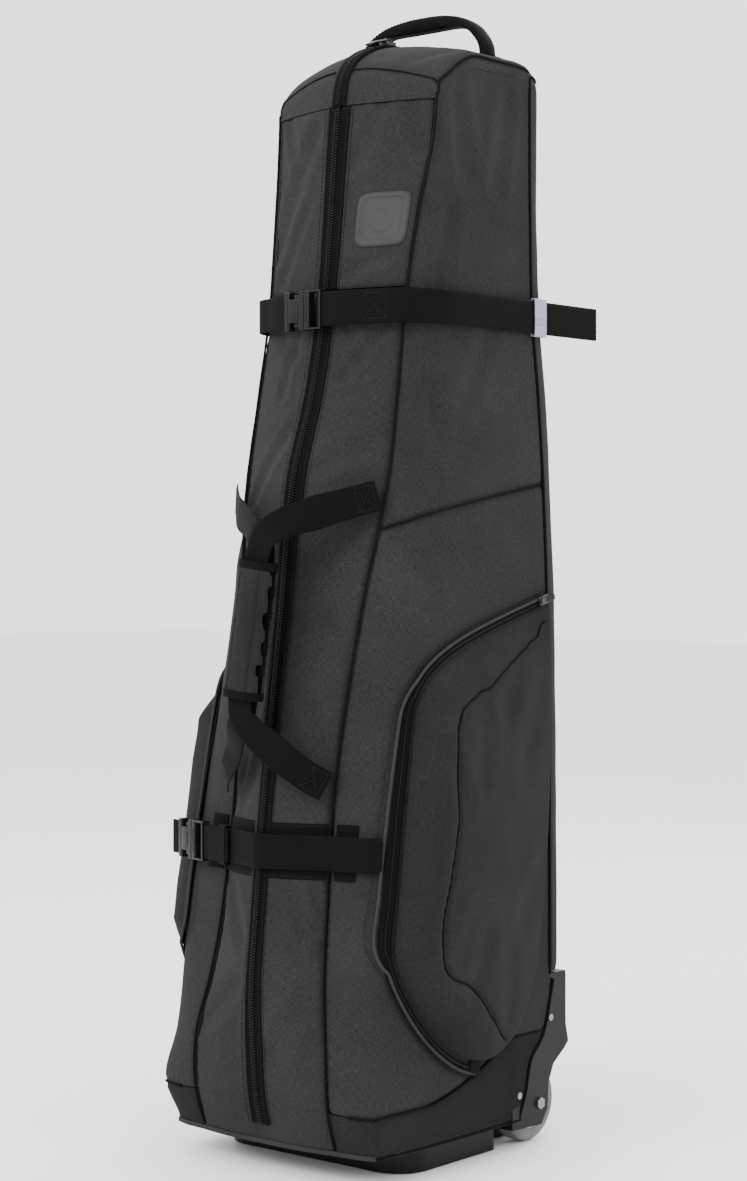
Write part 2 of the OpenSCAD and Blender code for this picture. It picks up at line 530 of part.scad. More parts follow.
pocket_zip(-1);  // pocket_zip_left
pocket_zip(1);  // pocket_zip_right
pocket_piping(-1);  // pocket_piping_left
pocket_piping(1);  // pocket_piping_right
pocket_slider(-1);  // pocket_slider_left
pocket_slider(1);  // pocket_slider_right
upper_strap_anchor();
upper_strap_webbing();
upper_strap_loop();
upper_buckle_socket();
upper_buckle_plug();
lower_strap_anchor();
lower_strap_webbing();
lower_strap_loop();
lower_buckle_socket();
lower_buckle_plug();
lower_strap_patches();
carry_handle(-1);  // carry_handle_left
carry_handle(1);  // carry_handle_right
carry_handle_wrap();
carry_wrap_flap();
top_handle();
badge_patch();
wheel_housing(-1);  // wheel_housing_left
wheel_housing(1);  // wheel_housing_right
tyre(-1);  // tyre_left
tyre(1);  // tyre_right
hub(-1);  // hub_left
hub(1);  // hub_right
wheel_axles();
wheel_bolts();
kick_strips();
inner_straps();
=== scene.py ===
import math

import bmesh
import bpy
import numpy as np
from mathutils import Matrix, Vector


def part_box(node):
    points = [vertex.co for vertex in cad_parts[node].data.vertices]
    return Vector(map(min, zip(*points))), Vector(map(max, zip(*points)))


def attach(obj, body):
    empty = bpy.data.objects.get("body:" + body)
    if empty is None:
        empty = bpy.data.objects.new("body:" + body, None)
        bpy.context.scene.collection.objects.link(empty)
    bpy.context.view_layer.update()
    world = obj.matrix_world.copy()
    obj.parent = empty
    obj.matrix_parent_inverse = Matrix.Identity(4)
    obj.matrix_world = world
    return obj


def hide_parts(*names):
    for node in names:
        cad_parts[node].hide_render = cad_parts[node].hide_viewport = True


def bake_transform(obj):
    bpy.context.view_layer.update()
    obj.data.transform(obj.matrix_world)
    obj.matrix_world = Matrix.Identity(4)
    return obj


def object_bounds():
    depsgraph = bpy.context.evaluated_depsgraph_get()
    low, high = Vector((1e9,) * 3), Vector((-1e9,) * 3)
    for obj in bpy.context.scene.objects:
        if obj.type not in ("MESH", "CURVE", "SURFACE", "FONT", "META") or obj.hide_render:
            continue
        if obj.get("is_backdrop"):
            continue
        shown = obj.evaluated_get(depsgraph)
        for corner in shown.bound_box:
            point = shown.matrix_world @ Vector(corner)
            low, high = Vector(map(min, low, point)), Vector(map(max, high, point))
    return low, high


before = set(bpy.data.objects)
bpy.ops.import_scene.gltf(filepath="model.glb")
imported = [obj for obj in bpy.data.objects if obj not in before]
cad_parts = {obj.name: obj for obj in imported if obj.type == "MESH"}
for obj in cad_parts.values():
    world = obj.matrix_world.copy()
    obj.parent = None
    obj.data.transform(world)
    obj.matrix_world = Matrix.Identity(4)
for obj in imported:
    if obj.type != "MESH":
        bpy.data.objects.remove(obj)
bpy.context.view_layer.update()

MM = 0.001
SIDES = ((-1, "left"), (1, "right"))

# ---------------------------------------------------------------- the body's surface, in millimetres
# height, front ridge y, front seam x and y, shoulder x and y, side x, rear x
STATIONS = np.array([
    [0, -130, 90, -122, 138, -112, 142, 142],
    [34, -148, 95, -141, 148, -128, 152, 150],
    [80, -161, 97, -156, 155, -146, 157, 154],
    [140, -167, 95, -157, 148, -132, 156, 155],
    [200, -169, 84, -147, 148, -124, 156, 155],
    [270, -163, 77, -135, 148, -115, 155, 155],
    [420, -147, 73, -116, 145, -86, 152, 154],
    [600, -122, 88, -92, 136, -48, 147, 151],
    [750, -102, 104, -64, 130, -24, 141, 145],
    [850, -70, 103, -46, 123, -8, 134, 138],
    [945, -50, 101, -30, 117, 4, 126, 129],
    [1050, -38, 107, -13, 120, 18, 125, 126],
    [1130, -31, 115, 2, 124, 30, 126, 125],
    [1190, -24, 117, 7, 124, 36, 125, 125],
    [1270, -14, 119, 12, 124, 40, 124, 124]], float)
HEIGHTS = STATIONS[:, 0]
RISES = np.gradient(STATIONS, axis=0)
SLOPES = RISES / RISES[:, :1]
for end, near in ((0, 1), (-1, -2)):
    SLOPES[end] = (STATIONS[near] - STATIONS[end]) / (HEIGHTS[near] - HEIGHTS[end])
for k in range(1, len(HEIGHTS) - 1):
    SLOPES[k] = (STATIONS[k + 1] - STATIONS[k - 1]) / (HEIGHTS[k + 1] - HEIGHTS[k - 1])

REAR_Y = 170
BACK_Y = 197
CORNER = 26
TOP_H = 1255
EDGE_R = 20
PANEL_T = 4


def station(z, c):
    z = np.asarray(z, float)
    i = np.clip(np.searchsorted(HEIGHTS, z, side="right") - 1, 0, len(HEIGHTS) - 2)
    h = HEIGHTS[i + 1] - HEIGHTS[i]
    t = (z - HEIGHTS[i]) / h
    a, b = STATIONS[i, c], STATIONS[i + 1, c]
    ma, mb = SLOPES[i, c] * h, SLOPES[i + 1, c] * h
    return (a * (1 + 2 * t) * (1 - t) ** 2 + b * t * t * (3 - 2 * t)
            + ma * t * (1 - t) ** 2 - mb * t * t * (1 - t))


def mix(a, b, t):
    return a + (b - a) * t


def pair(x, y):
    x, y = np.broadcast_arrays(np.asarray(x, float), np.asarray(y, float))
    return np.stack([x, y], -1)


def bezier2(a, b, c, t):
    t = np.asarray(t, float)[..., None]
    return (1 - t) ** 2 * a + 2 * t * (1 - t) * b + t * t * c


def bezier3(a, b, c, d, t):
    t = np.asarray(t, float)[..., None]
    return (1 - t) ** 3 * a + 3 * t * (1 - t) ** 2 * b + 3 * t * t * (1 - t) * c + t ** 3 * d


def front_xy(z, u):
    ridge, sx, sy = station(z, 1), station(z, 2), station(z, 3)
    return bezier2(pair(0 * ridge, ridge), pair(sx * 0.55, mix(ridge, sy, 0.4) - 5), pair(sx, sy), u)


def side_xy(z, u):
    u = np.asarray(u, float)
    cx, cy, dx, dy = (station(z, c) for c in (2, 3, 4, 5))
    sx, rx = station(z, 6) + 2, station(z, 7)
    near = bezier2(pair(cx, cy), pair(mix(cx, dx, 0.75) + 3, mix(cy, dy, 0.4) - 4), pair(dx, dy),
                   np.clip(u / 0.3, 0, 1))
    far = bezier3(pair(dx, dy), pair(sx, mix(dy, REAR_Y, 0.25)), pair(sx, mix(dy, REAR_Y, 0.6)),
                  pair(rx, REAR_Y), np.clip((u - 0.3) / 0.7, 0, 1))
    return np.where((u < 0.3)[..., None], near, far)


def back_xy(z, u):
    u = np.asarray(u, float)
    x = station(z, 7)
    bend = bezier3(pair(x, REAR_Y), pair(x - 1, BACK_Y - 8), pair(x - 6, BACK_Y - 1),
                   pair(x - CORNER, BACK_Y), np.clip(u * 2, 0, 1))
    flat = pair(mix(x - CORNER, 0, u * 2 - 1), BACK_Y)
    return np.where((u < 0.5)[..., None], bend, flat)


FRONT, SIDE, BACK = front_xy, side_xy, back_xy


def wall(plan, z, u, inset):
    """Points on a panel; a positive inset is towards the inside."""
    z, u, inset = np.broadcast_arrays(*(np.asarray(v, float) for v in (z, u, inset)))
    e = 0.01
    d = plan(z, np.minimum(u + e, 1)) - plan(z, np.maximum(u - e, 0))
    d /= np.linalg.norm(d, axis=-1, keepdims=True)
    p = plan(z, u)
    return np.stack([p[..., 0] - inset * d[..., 1], p[..., 1] + inset * d[..., 0], z], -1)


def dome_z(x, y):
    fx, fy, by = x / 120, np.maximum(0, 64 - y) / 90, np.maximum(0, y - 140) / 57
    return TOP_H - 16 * fx ** 2 - 45 * fy ** 2 - 16 * by ** 2 - 38 * fx ** 2 * fy


def rim_z(x, y):
    return dome_z(x, y) - EDGE_R


def side_u(z, y):
    """The side curve's parameter at a distance y from the front."""
    z, y = np.broadcast_arrays(np.asarray(z, float), np.asarray(y, float))
    low, high = np.zeros(z.shape), np.ones(z.shape)
    for _ in range(22):
        mid = (low + high) / 2
        before = side_xy(z, mid)[..., 1] < y
        low, high = np.where(before, mid, low), np.where(before, high, mid)
    return (low + high) / 2


def on_side(yz, off):
    """Points standing off the side panel by off, from their place in the side view."""
    y, z = yz[..., 0], yz[..., 1]
    w = wall(SIDE, z, side_u(z, np.minimum(y, 164)), -np.asarray(off, float))
    w[..., 1] = np.where(y > 164, y, w[..., 1])
    return w


# ---------------------------------------------------------------- shaping helpers
def ripple(p, size, seed):
    """Smooth noise from -1 to 1 whose bumps are about size apart."""
    draw = np.random.RandomState(seed)
    total = np.zeros(p.shape[:-1])
    count = 9
    for _ in range(count):
        way = draw.normal(size=3)
        way /= np.linalg.norm(way)
        total += np.sin(p @ way * (2 * math.pi / size) * draw.uniform(0.6, 1.5) + draw.uniform(0, 6.28))
    return np.clip(total / math.sqrt(count), -1.6, 1.6) / 1.6


def bell(d, width):
    return np.exp(-(d / width) ** 2)


def near_line(p, line):
    """Distance of each point from a polyline, in the points' own space."""
    best = np.full(p.shape[:-1], 1e9)
    for a, b in zip(line[:-1], line[1:]):
        ab = b - a
        t = np.clip(((p - a) @ ab) / max(ab @ ab, 1e-9), 0, 1)
        best = np.minimum(best, np.linalg.norm(p - (a + t[..., None] * ab), axis=-1))
    return best


def mirror(points, s):
    points = np.array(points, float)
    points[..., 0] *= s
    return points


def curve(points, step):
    """A smooth line through the points (any number of columns, place in the first three), evenly spaced."""
    p = np.asarray(points, float)
    p = np.vstack([2 * p[0] - p[1], p, 2 * p[-1] - p[-2]])
    fine = []
    for i in range(1, len(p) - 2):
        t = np.linspace(0, 1, 14, endpoint=False)[:, None]
        m0, m1 = (p[i + 1] - p[i - 1]) / 2, (p[i + 2] - p[i]) / 2
        fine.append((2 * t ** 3 - 3 * t ** 2 + 1) * p[i] + (t ** 3 - 2 * t ** 2 + t) * m0
                    + (3 * t ** 2 - 2 * t ** 3) * p[i + 1] + (t ** 3 - t ** 2) * m1)
    fine = np.vstack([*fine, p[-2:-1]])
    along = np.r_[0, np.cumsum(np.linalg.norm(np.diff(fine[:, :3], axis=0), axis=1))]
    n = max(3, int(along[-1] / step) + 1)
    at = np.linspace(0, along[-1], n)
    return np.stack([np.interp(at, along, fine[:, c]) for c in range(fine.shape[1])], -1)


def lengths(points):
    return np.r_[0, np.cumsum(np.linalg.norm(np.diff(points, axis=0), axis=1))]


# ---------------------------------------------------------------- mesh makers
def piece(name, verts, faces, material, body, nodes=(), weave=None, sharp=38):
    """A mesh in metres from points in millimetres, riding on its body."""
    mesh = bpy.data.meshes.new(name)
    mesh.from_pydata((np.asarray(verts, float).reshape(-1, 3) * MM).tolist(), [], faces)
    solid = bmesh.new()
    solid.from_mesh(mesh)
    bmesh.ops.recalc_face_normals(solid, faces=solid.faces)
    solid.to_mesh(mesh)
    solid.free()
    mesh.shade_smooth()
    mesh.set_sharp_from_angle(angle=math.radians(sharp))
    if weave is None:
        weave = np.asarray(verts, float).reshape(-1, 3) * MM
    attribute = mesh.attributes.new("weave", "FLOAT_VECTOR", "POINT")
    attribute.data.foreach_set("vector", np.asarray(weave, np.float32).ravel())
    mesh.materials.append(material)
    o = bpy.data.objects.new(name, mesh)
    bpy.context.scene.collection.objects.link(o)
    if nodes:
        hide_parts(*nodes)
    if body:
        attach(o, body)
    return o


def grid_faces(n, m, start=0, closed=False):
    idx = np.arange(n * m).reshape(n, m) + start
    if closed:
        idx = np.hstack([idx, idx[:, :1]])
    return np.stack([idx[:-1, :-1], idx[1:, :-1], idx[1:, 1:], idx[:-1, 1:]], -1).reshape(-1, 4).tolist()


def shell(outer, inner):
    """Points, faces and weave coordinates of a closed sheet between two grids of points."""
    n, m = outer.shape[:2]
    size = n * m
    faces = grid_faces(n, m)
    faces += [[a + size, d + size, c + size, b + size] for a, b, c, d in grid_faces(n, m)]
    ring = [*range(m), *range(2 * m - 1, size, m), *range(size - 2, size - m - 1, -1),
            *range(size - 2 * m, 0, -m)]
    faces += [[a, b, b + size, a + size] for a, b in zip(ring, ring[1:] + ring[:1])]
    across = np.concatenate([np.zeros((n, 1)),
                             np.cumsum(np.linalg.norm(np.diff(outer, axis=1), axis=2), axis=1)], 1)
    up = np.concatenate([np.zeros((1, m)),
                         np.cumsum(np.linalg.norm(np.diff(outer, axis=0), axis=2), axis=0)], 0)
    across = across - across.mean(1, keepdims=True)
    weave = np.stack([across, up, 0 * up], -1).reshape(-1, 3) * MM
    return (np.concatenate([outer.reshape(-1, 3), inner.reshape(-1, 3)]), faces,
            np.concatenate([weave, weave]))


def sheet(name, outer, inner, material, body, nodes=(), sharp=38):
    verts, faces, weave = shell(outer, inner)
    return piece(name, verts, faces, material, body, nodes, weave, sharp)


def frames(path, facing):
    d = np.gradient(path, axis=0)
    d /= np.maximum(np.linalg.norm(d, axis=1, keepdims=True), 1e-9)
    n = facing - (facing * d).sum(1, keepdims=True) * d
    n /= np.maximum(np.linalg.norm(n, axis=1, keepdims=True), 1e-9)
    return d, n, np.cross(d, n)


def swept(path, facing, profile, scale=None):
    """A closed profile (across, outward) swept along a path; scale is one number a point."""
    _, n, s = frames(path, facing)
    k = len(profile)
    size = np.ones(len(path)) if scale is None else np.asarray(scale, float)
    verts = (path[:, None] + s[:, None] * (profile[None, :, 0, None] * size[:, None, None])
             + n[:, None] * (profile[None, :, 1, None] * size[:, None, None]))
    faces = grid_faces(len(path), k, closed=True)
    faces += [list(range(k))[::-1], list(range((len(path) - 1) * k, len(path) * k))]
    edge = lengths(np.vstack([profile, profile[:1]]))[:-1]
    weave = np.stack(np.broadcast_arrays(edge[None, :] - edge[-1] / 2, lengths(path)[:, None], 0.0), -1)
    return verts.reshape(-1, 3), faces, weave.reshape(-1, 3) * MM


def joined(parts):
    verts, faces, weave, start = [], [], [], 0
    for v, f, w in parts:
        verts.append(v)
        weave.append(w)
        faces += [[i + start for i in face] for face in f]
        start += len(v)
    return np.concatenate(verts), faces, np.concatenate(weave)


def circle(r, sides):
    a = np.linspace(0, 2 * math.pi, sides, endpoint=False)
    return np.stack([np.cos(a), np.sin(a)], -1) * r


def band_profile(width, thick, cells=10, crown=0.0):
    """A flat woven band with rounded edges, its back on the path."""
    x = np.linspace(-1, 1, cells)
    top = np.stack([x * (width / 2 - thick / 2), thick + crown * (1 - x ** 2)], -1)
    low = np.stack([-x * (width / 2 - thick / 2), 0 * x], -1)
    return np.vstack([[[-width / 2, thick * 0.5]], top, [[width / 2, thick * 0.5]], low])


def round_facing(path):
    """A steady outward direction for a round cord."""
    return np.tile([0.31, 0.91, 0.27], (len(path), 1))


def tube(path, r, sides=8):
    path = np.asarray(path, float)
    scale = np.broadcast_to(np.asarray(r, float), (len(path),))
    return swept(path, round_facing(path), circle(1, sides), scale)


def rounded_box(low, high, bevel, segments=3):
    """Points and faces of a box with rounded edges."""
    b = bmesh.new()
    bmesh.ops.create_cube(b, size=1)
    low, high = np.array(low, float), np.array(high, float)
    for v in b.verts:
        v.co = Vector((low + high) / 2 + np.array(v.co) * (high - low))
    bmesh.ops.bevel(b, geom=b.edges[:], offset=bevel, segments=segments, affect="EDGES", profile=0.6)
    b.verts.index_update()
    verts = np.array([v.co for v in b.verts])
    faces = [[v.index for v in f.verts] for f in b.faces]
    b.free()
    return verts, faces, verts * MM


def lathe(profile, sides, closed=True):
    """A ring with its axis along X from (radius, x) pairs."""
    a = np.linspace(0, 2 * math.pi, sides, endpoint=False)
    verts = np.stack([np.broadcast_to(profile[None, :, 1], (sides, len(profile))),
                      np.cos(a)[:, None] * profile[None, :, 0], np.sin(a)[:, None] * profile[None, :, 0]],
                      -1)
    n, k = sides, len(profile)
    idx = np.arange(n * k).reshape(n, k)
    idx = np.vstack([idx, idx[:1]])
    if closed:
        idx = np.hstack([idx, idx[:, :1]])
    faces = np.stack([idx[:-1, :-1], idx[1:, :-1], idx[1:, 1:], idx[:-1, 1:]], -1).reshape(-1, 4).tolist()
    weave = np.stack(np.broadcast_arrays(a[:, None] * 0.045, lengths(profile)[None, :] * MM, 0.0), -1)
    return verts.reshape(-1, 3), faces, weave.reshape(-1, 3)


def placed(part, place):
    """The same part with its points moved by a function."""
    v, f, w = part
    return place(v), f, w


def stitches(path, facing, length=3.2, gap=1.5, r=0.42, lift=0.25):
    """Separate thread stitches lying along a line on a surface."""
    at = lengths(path)
    parts = []
    total = at[-1]
    for start in np.arange(0.6, total - length, length + gap):
        t = np.array([start, start + length * 0.25, start + length * 0.75, start + length])
        p = np.stack([np.interp(t, at, path[:, c]) for c in range(3)], -1)
        f = np.stack([np.interp(t, at, facing[:, c]) for c in range(3)], -1)
        f /= np.linalg.norm(f, axis=1, keepdims=True)
        p = p + f * (lift + np.array([-0.5, 0.1, 0.1, -0.5])[:, None])
        parts.append(swept(p, f, circle(r, 5)))
    return joined(parts)


def sewn(name, lines, material, body, **how):
    """One piece of stitching from several (path, facing) lines."""
    parts = [stitches(p, np.broadcast_to(np.asarray(f, float), p.shape), **how) for p, f in lines]
    v, f, w = joined(parts)
    return piece(name, v, f, material, body, (), w, 60)


# ---------------------------------------------------------------- materials
def material(name, colour, rough, metallic=0.0, sheen=0.0, coat=0.0, ior=1.45, specular=0.5):
    m = bpy.data.materials.new(name)
    m.use_nodes = True
    m.diffuse_color = (*colour, 1)
    b = m.node_tree.nodes["Principled BSDF"]
    b.inputs["Base Color"].default_value = (*colour, 1)
    b.inputs["Roughness"].default_value = rough
    b.inputs["Metallic"].default_value = metallic
    b.inputs["IOR"].default_value = ior
    b.inputs["Specular IOR Level"].default_value = specular
    b.inputs["Sheen Weight"].default_value = sheen
    b.inputs["Sheen Roughness"].default_value = 0.55
    b.inputs["Coat Weight"].default_value = coat
    b.inputs["Coat Roughness"].default_value = 0.18
    return m, m.node_tree, b


def coords(tree, scale, use="weave", rotate=(0, 0, 0)):
    if use == "object":
        source = tree.nodes.new("ShaderNodeTexCoord").outputs["Object"]
    else:
        node = tree.nodes.new("ShaderNodeAttribute")
        node.attribute_name = "weave"
        source = node.outputs["Vector"]
    m = tree.nodes.new("ShaderNodeMapping")
    m.inputs["Scale"].default_value = scale
    m.inputs["Rotation"].default_value = rotate
    tree.links.new(source, m.inputs["Vector"])
    return m.outputs["Vector"]


def noise(tree, vector, scale=1.0, detail=2.0, rough=0.5):
    n = tree.nodes.new("ShaderNodeTexNoise")
    n.inputs["Scale"].default_value = scale
    n.inputs["Detail"].default_value = detail
    n.inputs["Roughness"].default_value = rough
    tree.links.new(vector, n.inputs["Vector"])
    return n.outputs["Fac"]


def wave(tree, vector, direction, distortion=0.0, kind="BANDS"):
    w = tree.nodes.new("ShaderNodeTexWave")
    w.wave_type = kind
    w.bands_direction = direction
    w.inputs["Scale"].default_value = 1.0
    w.inputs["Distortion"].default_value = distortion
    tree.links.new(vector, w.inputs["Vector"])
    return w.outputs["Fac"]


def maths(tree, operation, a, b):
    n = tree.nodes.new("ShaderNodeMath")
    n.operation = operation
    for socket, value in zip(n.inputs, (a, b)):
        if isinstance(value, (int, float)):
            socket.default_value = value
        else:
            tree.links.new(value, socket)
    return n.outputs[0]


def ramp(tree, factor, stops):
    r = tree.nodes.new("ShaderNodeValToRGB")
    while len(r.color_ramp.elements) < len(stops):
        r.color_ramp.elements.new(0.5)
    for e, (at, colour) in zip(r.color_ramp.elements, stops):
        e.position = at
        e.color = (*colour, 1) if isinstance(colour, tuple) else (colour, colour, colour, 1)
    tree.links.new(factor, r.inputs["Fac"])
    return r.outputs["Color"]


def blended(tree, kind, factor, a, b):
    n = tree.nodes.new("ShaderNodeMix")
    n.data_type = "RGBA"
    n.blend_type = kind
    n.inputs["Factor"].default_value = factor
    tree.links.new(a, n.inputs["A"])
    tree.links.new(b, n.inputs["B"])
    return n.outputs["Result"]


def bump(tree, shader, height, strength, distance):
    n = tree.nodes.new("ShaderNodeBump")
    n.inputs["Strength"].default_value = strength
    n.inputs["Distance"].default_value = distance
    tree.links.new(height, n.inputs["Height"])
    tree.links.new(n.outputs["Normal"], shader.inputs["Normal"])


def ranged(tree, value, low, high):
    n = tree.nodes.new("ShaderNodeMapRange")
    n.inputs["To Min"].default_value = low
    n.inputs["To Max"].default_value = high
    tree.links.new(value, n.inputs["Value"])
    return n.outputs["Result"]


WAVE_PERIOD = 0.314  # one band of a wave texture at scale 1


def cloth_material(name, tone, tint=(1.0, 1.0, 1.02), contrast=0.42, thread=0.0011, sheen=0.12, rough=0.82,
                   strength=0.35, use="weave"):
    """Heathered woven cloth: flecked threads both ways, soft fading over the piece and a plain weave."""
    m, tree, shader = material(name, tuple(tone * c for c in tint), rough, sheen=sheen, specular=0.04)
    weft = noise(tree, coords(tree, (210, 1500, 900), use), detail=2)
    warp = noise(tree, coords(tree, (1500, 170, 900), use), detail=2)
    fleck = maths(tree, "ADD", maths(tree, "MULTIPLY", weft, 0.55), maths(tree, "MULTIPLY", warp, 0.45))
    low, high = tone * (1 - contrast), tone * (1 + contrast * 1.35)
    threads = ramp(tree, fleck, [(0.36, tuple(low * c for c in tint)), (0.5, tuple(tone * c for c in tint)),
                                 (0.66, tuple(high * c for c in tint))])
    worn = noise(tree, coords(tree, (9, 9, 9), "object"), detail=4, rough=0.6)
    fade = ramp(tree, worn, [(0.3, 0.80), (0.7, 1.12)])
    tree.links.new(blended(tree, "MULTIPLY", 1.0, threads, fade), shader.inputs["Base Color"])
    across = wave(tree, coords(tree, (WAVE_PERIOD / thread,) * 3, use), "X", 0.4)
    along = wave(tree, coords(tree, (WAVE_PERIOD / thread,) * 3, use), "Y", 0.4)
    weave = maths(tree, "MAXIMUM", across, along)
    height = maths(tree, "ADD", maths(tree, "MULTIPLY", weave, 0.6), maths(tree, "MULTIPLY", fleck, 0.8))
    bump(tree, shader, height, strength, 0.0006)
    tree.links.new(ranged(tree, fleck, rough - 0.1, min(1.0, rough + 0.12)), shader.inputs["Roughness"])
    return m


def webbing_material(name, tone, tint=(1, 1, 1.03), rib=0.0024, strength=0.6, rough=0.62, sheen=0.08):
    """Flat webbing: chevron ribs across the band, flecked and slightly polished."""
    m, tree, shader = material(name, tuple(tone * c for c in tint), rough, sheen=sheen, specular=0.02)
    ribs = wave(tree, coords(tree, (WAVE_PERIOD / rib * 0.35, WAVE_PERIOD / rib, 1)), "Y", 0.8)
    cords = wave(tree, coords(tree, (WAVE_PERIOD / 0.0031,) * 3), "X", 0.3)
    fuzz = noise(tree, coords(tree, (900, 900, 900)), detail=3)
    height = maths(tree, "ADD", maths(tree, "MULTIPLY", ribs, 0.7), maths(tree, "MULTIPLY", cords, 0.4))
    tree.links.new(ramp(tree, maths(tree, "MULTIPLY", maths(tree, "ADD", ribs, fuzz), 0.5),
                        [(0.2, tuple(tone * 0.55 * c for c in tint)),
                         (0.8, tuple(tone * 1.45 * c for c in tint))]),
                   shader.inputs["Base Color"])
    bump(tree, shader, height, strength, 0.0007)
    tree.links.new(ranged(tree, fuzz, rough - 0.12, rough + 0.14), shader.inputs["Roughness"])
    return m


def plastic_material(name, tone, rough, tint=(1, 1, 1.02), grain=700.0, strength=0.12, coat=0.0, wear=0.25):
    """Moulded plastic: a fine spark texture, cloudy polish and paler handling marks."""
    m, tree, shader = material(name, tuple(tone * c for c in tint), rough, coat=coat, specular=0.12)
    place = coords(tree, (1, 1, 1), "object")
    fine = noise(tree, place, grain, 3, 0.6)
    cloud = noise(tree, place, 24, 4, 0.6)
    tree.links.new(ramp(tree, cloud, [(0.35, tuple(tone * 0.85 * c for c in tint)),
                                      (0.72, tuple(tone * (1 + wear) * c for c in tint))]),
                   shader.inputs["Base Color"])
    tree.links.new(ranged(tree, maths(tree, "ADD", maths(tree, "MULTIPLY", fine, 0.35),
                                      maths(tree, "MULTIPLY", cloud, 0.65)),
                          max(0.05, rough - 0.14), min(1.0, rough + 0.2)), shader.inputs["Roughness"])
    bump(tree, shader, fine, strength, 0.0004)
    return m


def metal_material(name, tone, rough):
    m, tree, shader = material(name, (tone, tone, tone * 1.02), rough, metallic=1.0)
    brushed = noise(tree, coords(tree, (900, 120, 900), "object"), 1.0, 3)
    tree.links.new(ranged(tree, brushed, rough - 0.12, rough + 0.2), shader.inputs["Roughness"])
    tree.links.new(ramp(tree, brushed, [(0.3, tone * 0.75), (0.7, tone * 1.1)]),
                   shader.inputs["Base Color"])
    bump(tree, shader, brushed, 0.15, 0.0003)
    return m


FABRIC = cloth_material("heather_fabric", 0.0165, sheen=0.02)
# a darker copy of the same heather cloth, as painted shade for the sides of the bottom band where less
# light falls
BAND_SIDE_SHADED_FABRIC = cloth_material("heather_fabric_band_painted_shade", 0.0105, sheen=0.01)
# a darker copy of the same heather cloth, as painted shade for the side pocket covers on the lower, less
# lit sides
POCKET_SHADED_FABRIC = cloth_material("heather_fabric_pocket_painted_shade", 0.0125, sheen=0.015)
LINING = cloth_material("lining_cloth", 0.012, contrast=0.2, sheen=0.02, use="object")
GRIP = cloth_material("grip_cloth", 0.011, contrast=0.3, sheen=0.02, use="object")
WEBBING = webbing_material("black_webbing", 0.0034, strength=0.35, sheen=0.01)
ELASTIC = webbing_material("grey_elastic", 0.30, tint=(0.93, 0.92, 1.14), rib=0.0016, rough=0.8)
ZIP_TAPE = webbing_material("zip_tape_weave", 0.0030, rib=0.0009, strength=0.3, rough=0.7, sheen=0.01)
PIPING = webbing_material("black_piping", 0.0028, rib=0.0012, strength=0.4, rough=0.6, sheen=0.01)
GREY_PIPING = webbing_material("grey_piping", 0.024, rib=0.0012, strength=0.4, rough=0.7, sheen=0.02)
SEAM = webbing_material("dark_seam", 0.0045, rib=0.003, strength=0.5, rough=0.8, sheen=0.01)
THREAD = webbing_material("charcoal_thread", 0.011, rib=0.0006, strength=0.5, rough=0.6, sheen=0.02)
COIL = plastic_material("zip_coil", 0.005, 0.35, grain=1500)
BUCKLE = plastic_material("buckle_plastic", 0.005, 0.26, coat=0.1, grain=900, strength=0.05)
TRAY = plastic_material("tray_plastic", 0.0030, 0.3, coat=0.03, grain=260, strength=0.06)
HOUSING = plastic_material("housing_plastic", 0.0055, 0.4, coat=0.05, grain=420, strength=0.25)
STRIP = plastic_material("scuff_strip_plastic", 0.09, 0.5, grain=300, strength=0.35)
BOARD = plastic_material("stiff_board", 0.016, 0.7, grain=200, strength=0.4)
BADGE = plastic_material("badge_rubber", 0.024, 0.5, grain=1100, strength=0.35)
TYRE = plastic_material("tyre_rubber", 0.10, 0.55, grain=500, strength=0.4, wear=0.6)
HUB = plastic_material("hub_plastic", 0.45, 0.4, grain=350, strength=0.15, wear=0.15)
STEEL = metal_material("brushed_steel", 0.22, 0.38)
SLIDER = metal_material("slider_metal", 0.06, 0.4)

# ---------------------------------------------------------------- folds and pinches of the padded panels
# heights and front- or side-curve values of each fold's two ends, then its width and depth in millimetres
FRONT_FOLDS = {
    -1: [(935, 0.85, 880, 0.15, 9, 3.4), (930, 0.35, 850, 0.5, 7, 2.6), (735, 0.75, 812, 0.2, 9, 2.8),
         (715, 0.9, 640, 0.35, 10, 3.2), (425, 0.7, 520, 0.3, 9, 3.0), (330, 0.9, 250, 0.3, 10, 3.0),
         (395, 0.6, 440, 0.15, 7, 2.2), (150, 0.9, 205, 0.25, 11, 2.8), (575, 0.95, 610, 0.4, 9, 2.4)],
    1: [(930, 0.8, 868, 0.35, 8, 3.0), (926, 0.3, 872, 0.6, 7, 2.2), (722, 0.9, 660, 0.45, 9, 2.8),
        (800, 0.95, 770, 0.3, 11, 2.2), (430, 0.95, 505, 0.5, 9, 3.0), (330, 0.4, 262, 0.75, 9, 2.6),
        (318, 0.85, 240, 0.95, 7, 2.4), (130, 0.25, 190, 0.7, 12, 2.8), (560, 0.95, 600, 0.55, 10, 2.2)],
}
FLAP_FOLDS = {
    -1: [(1150, 0.3, 1020, 0.9, 12, 3.6), (985, 0.75, 1060, 0.4, 9, 2.6), (1172, 0.8, 1110, 0.55, 8, 2.4)],
    1: [(985, 0.25, 1008, 0.7, 9, 2.2), (1170, 0.45, 1110, 0.22, 9, 2.4), (1168, 0.75, 1120, 0.9, 8, 2.2)],
}
SIDE_FOLDS = [(928, 0.02, 860, 0.22, 9, 3.0), (930, 0.18, 800, 0.34, 11, 3.2),
              (690, 0.12, 640, 0.34, 11, 2.6),
              (1165, 0.04, 1080, 0.2, 10, 2.6), (1195, 0.22, 1100, 0.45, 13, 2.8),
              (926, 0.7, 840, 0.52, 12, 2.6),
              (960, 0.3, 1050, 0.36, 11, 2.4), (1190, 0.8, 1090, 0.72, 12, 2.2),
              (770, 0.3, 820, 0.62, 14, 2.4)]


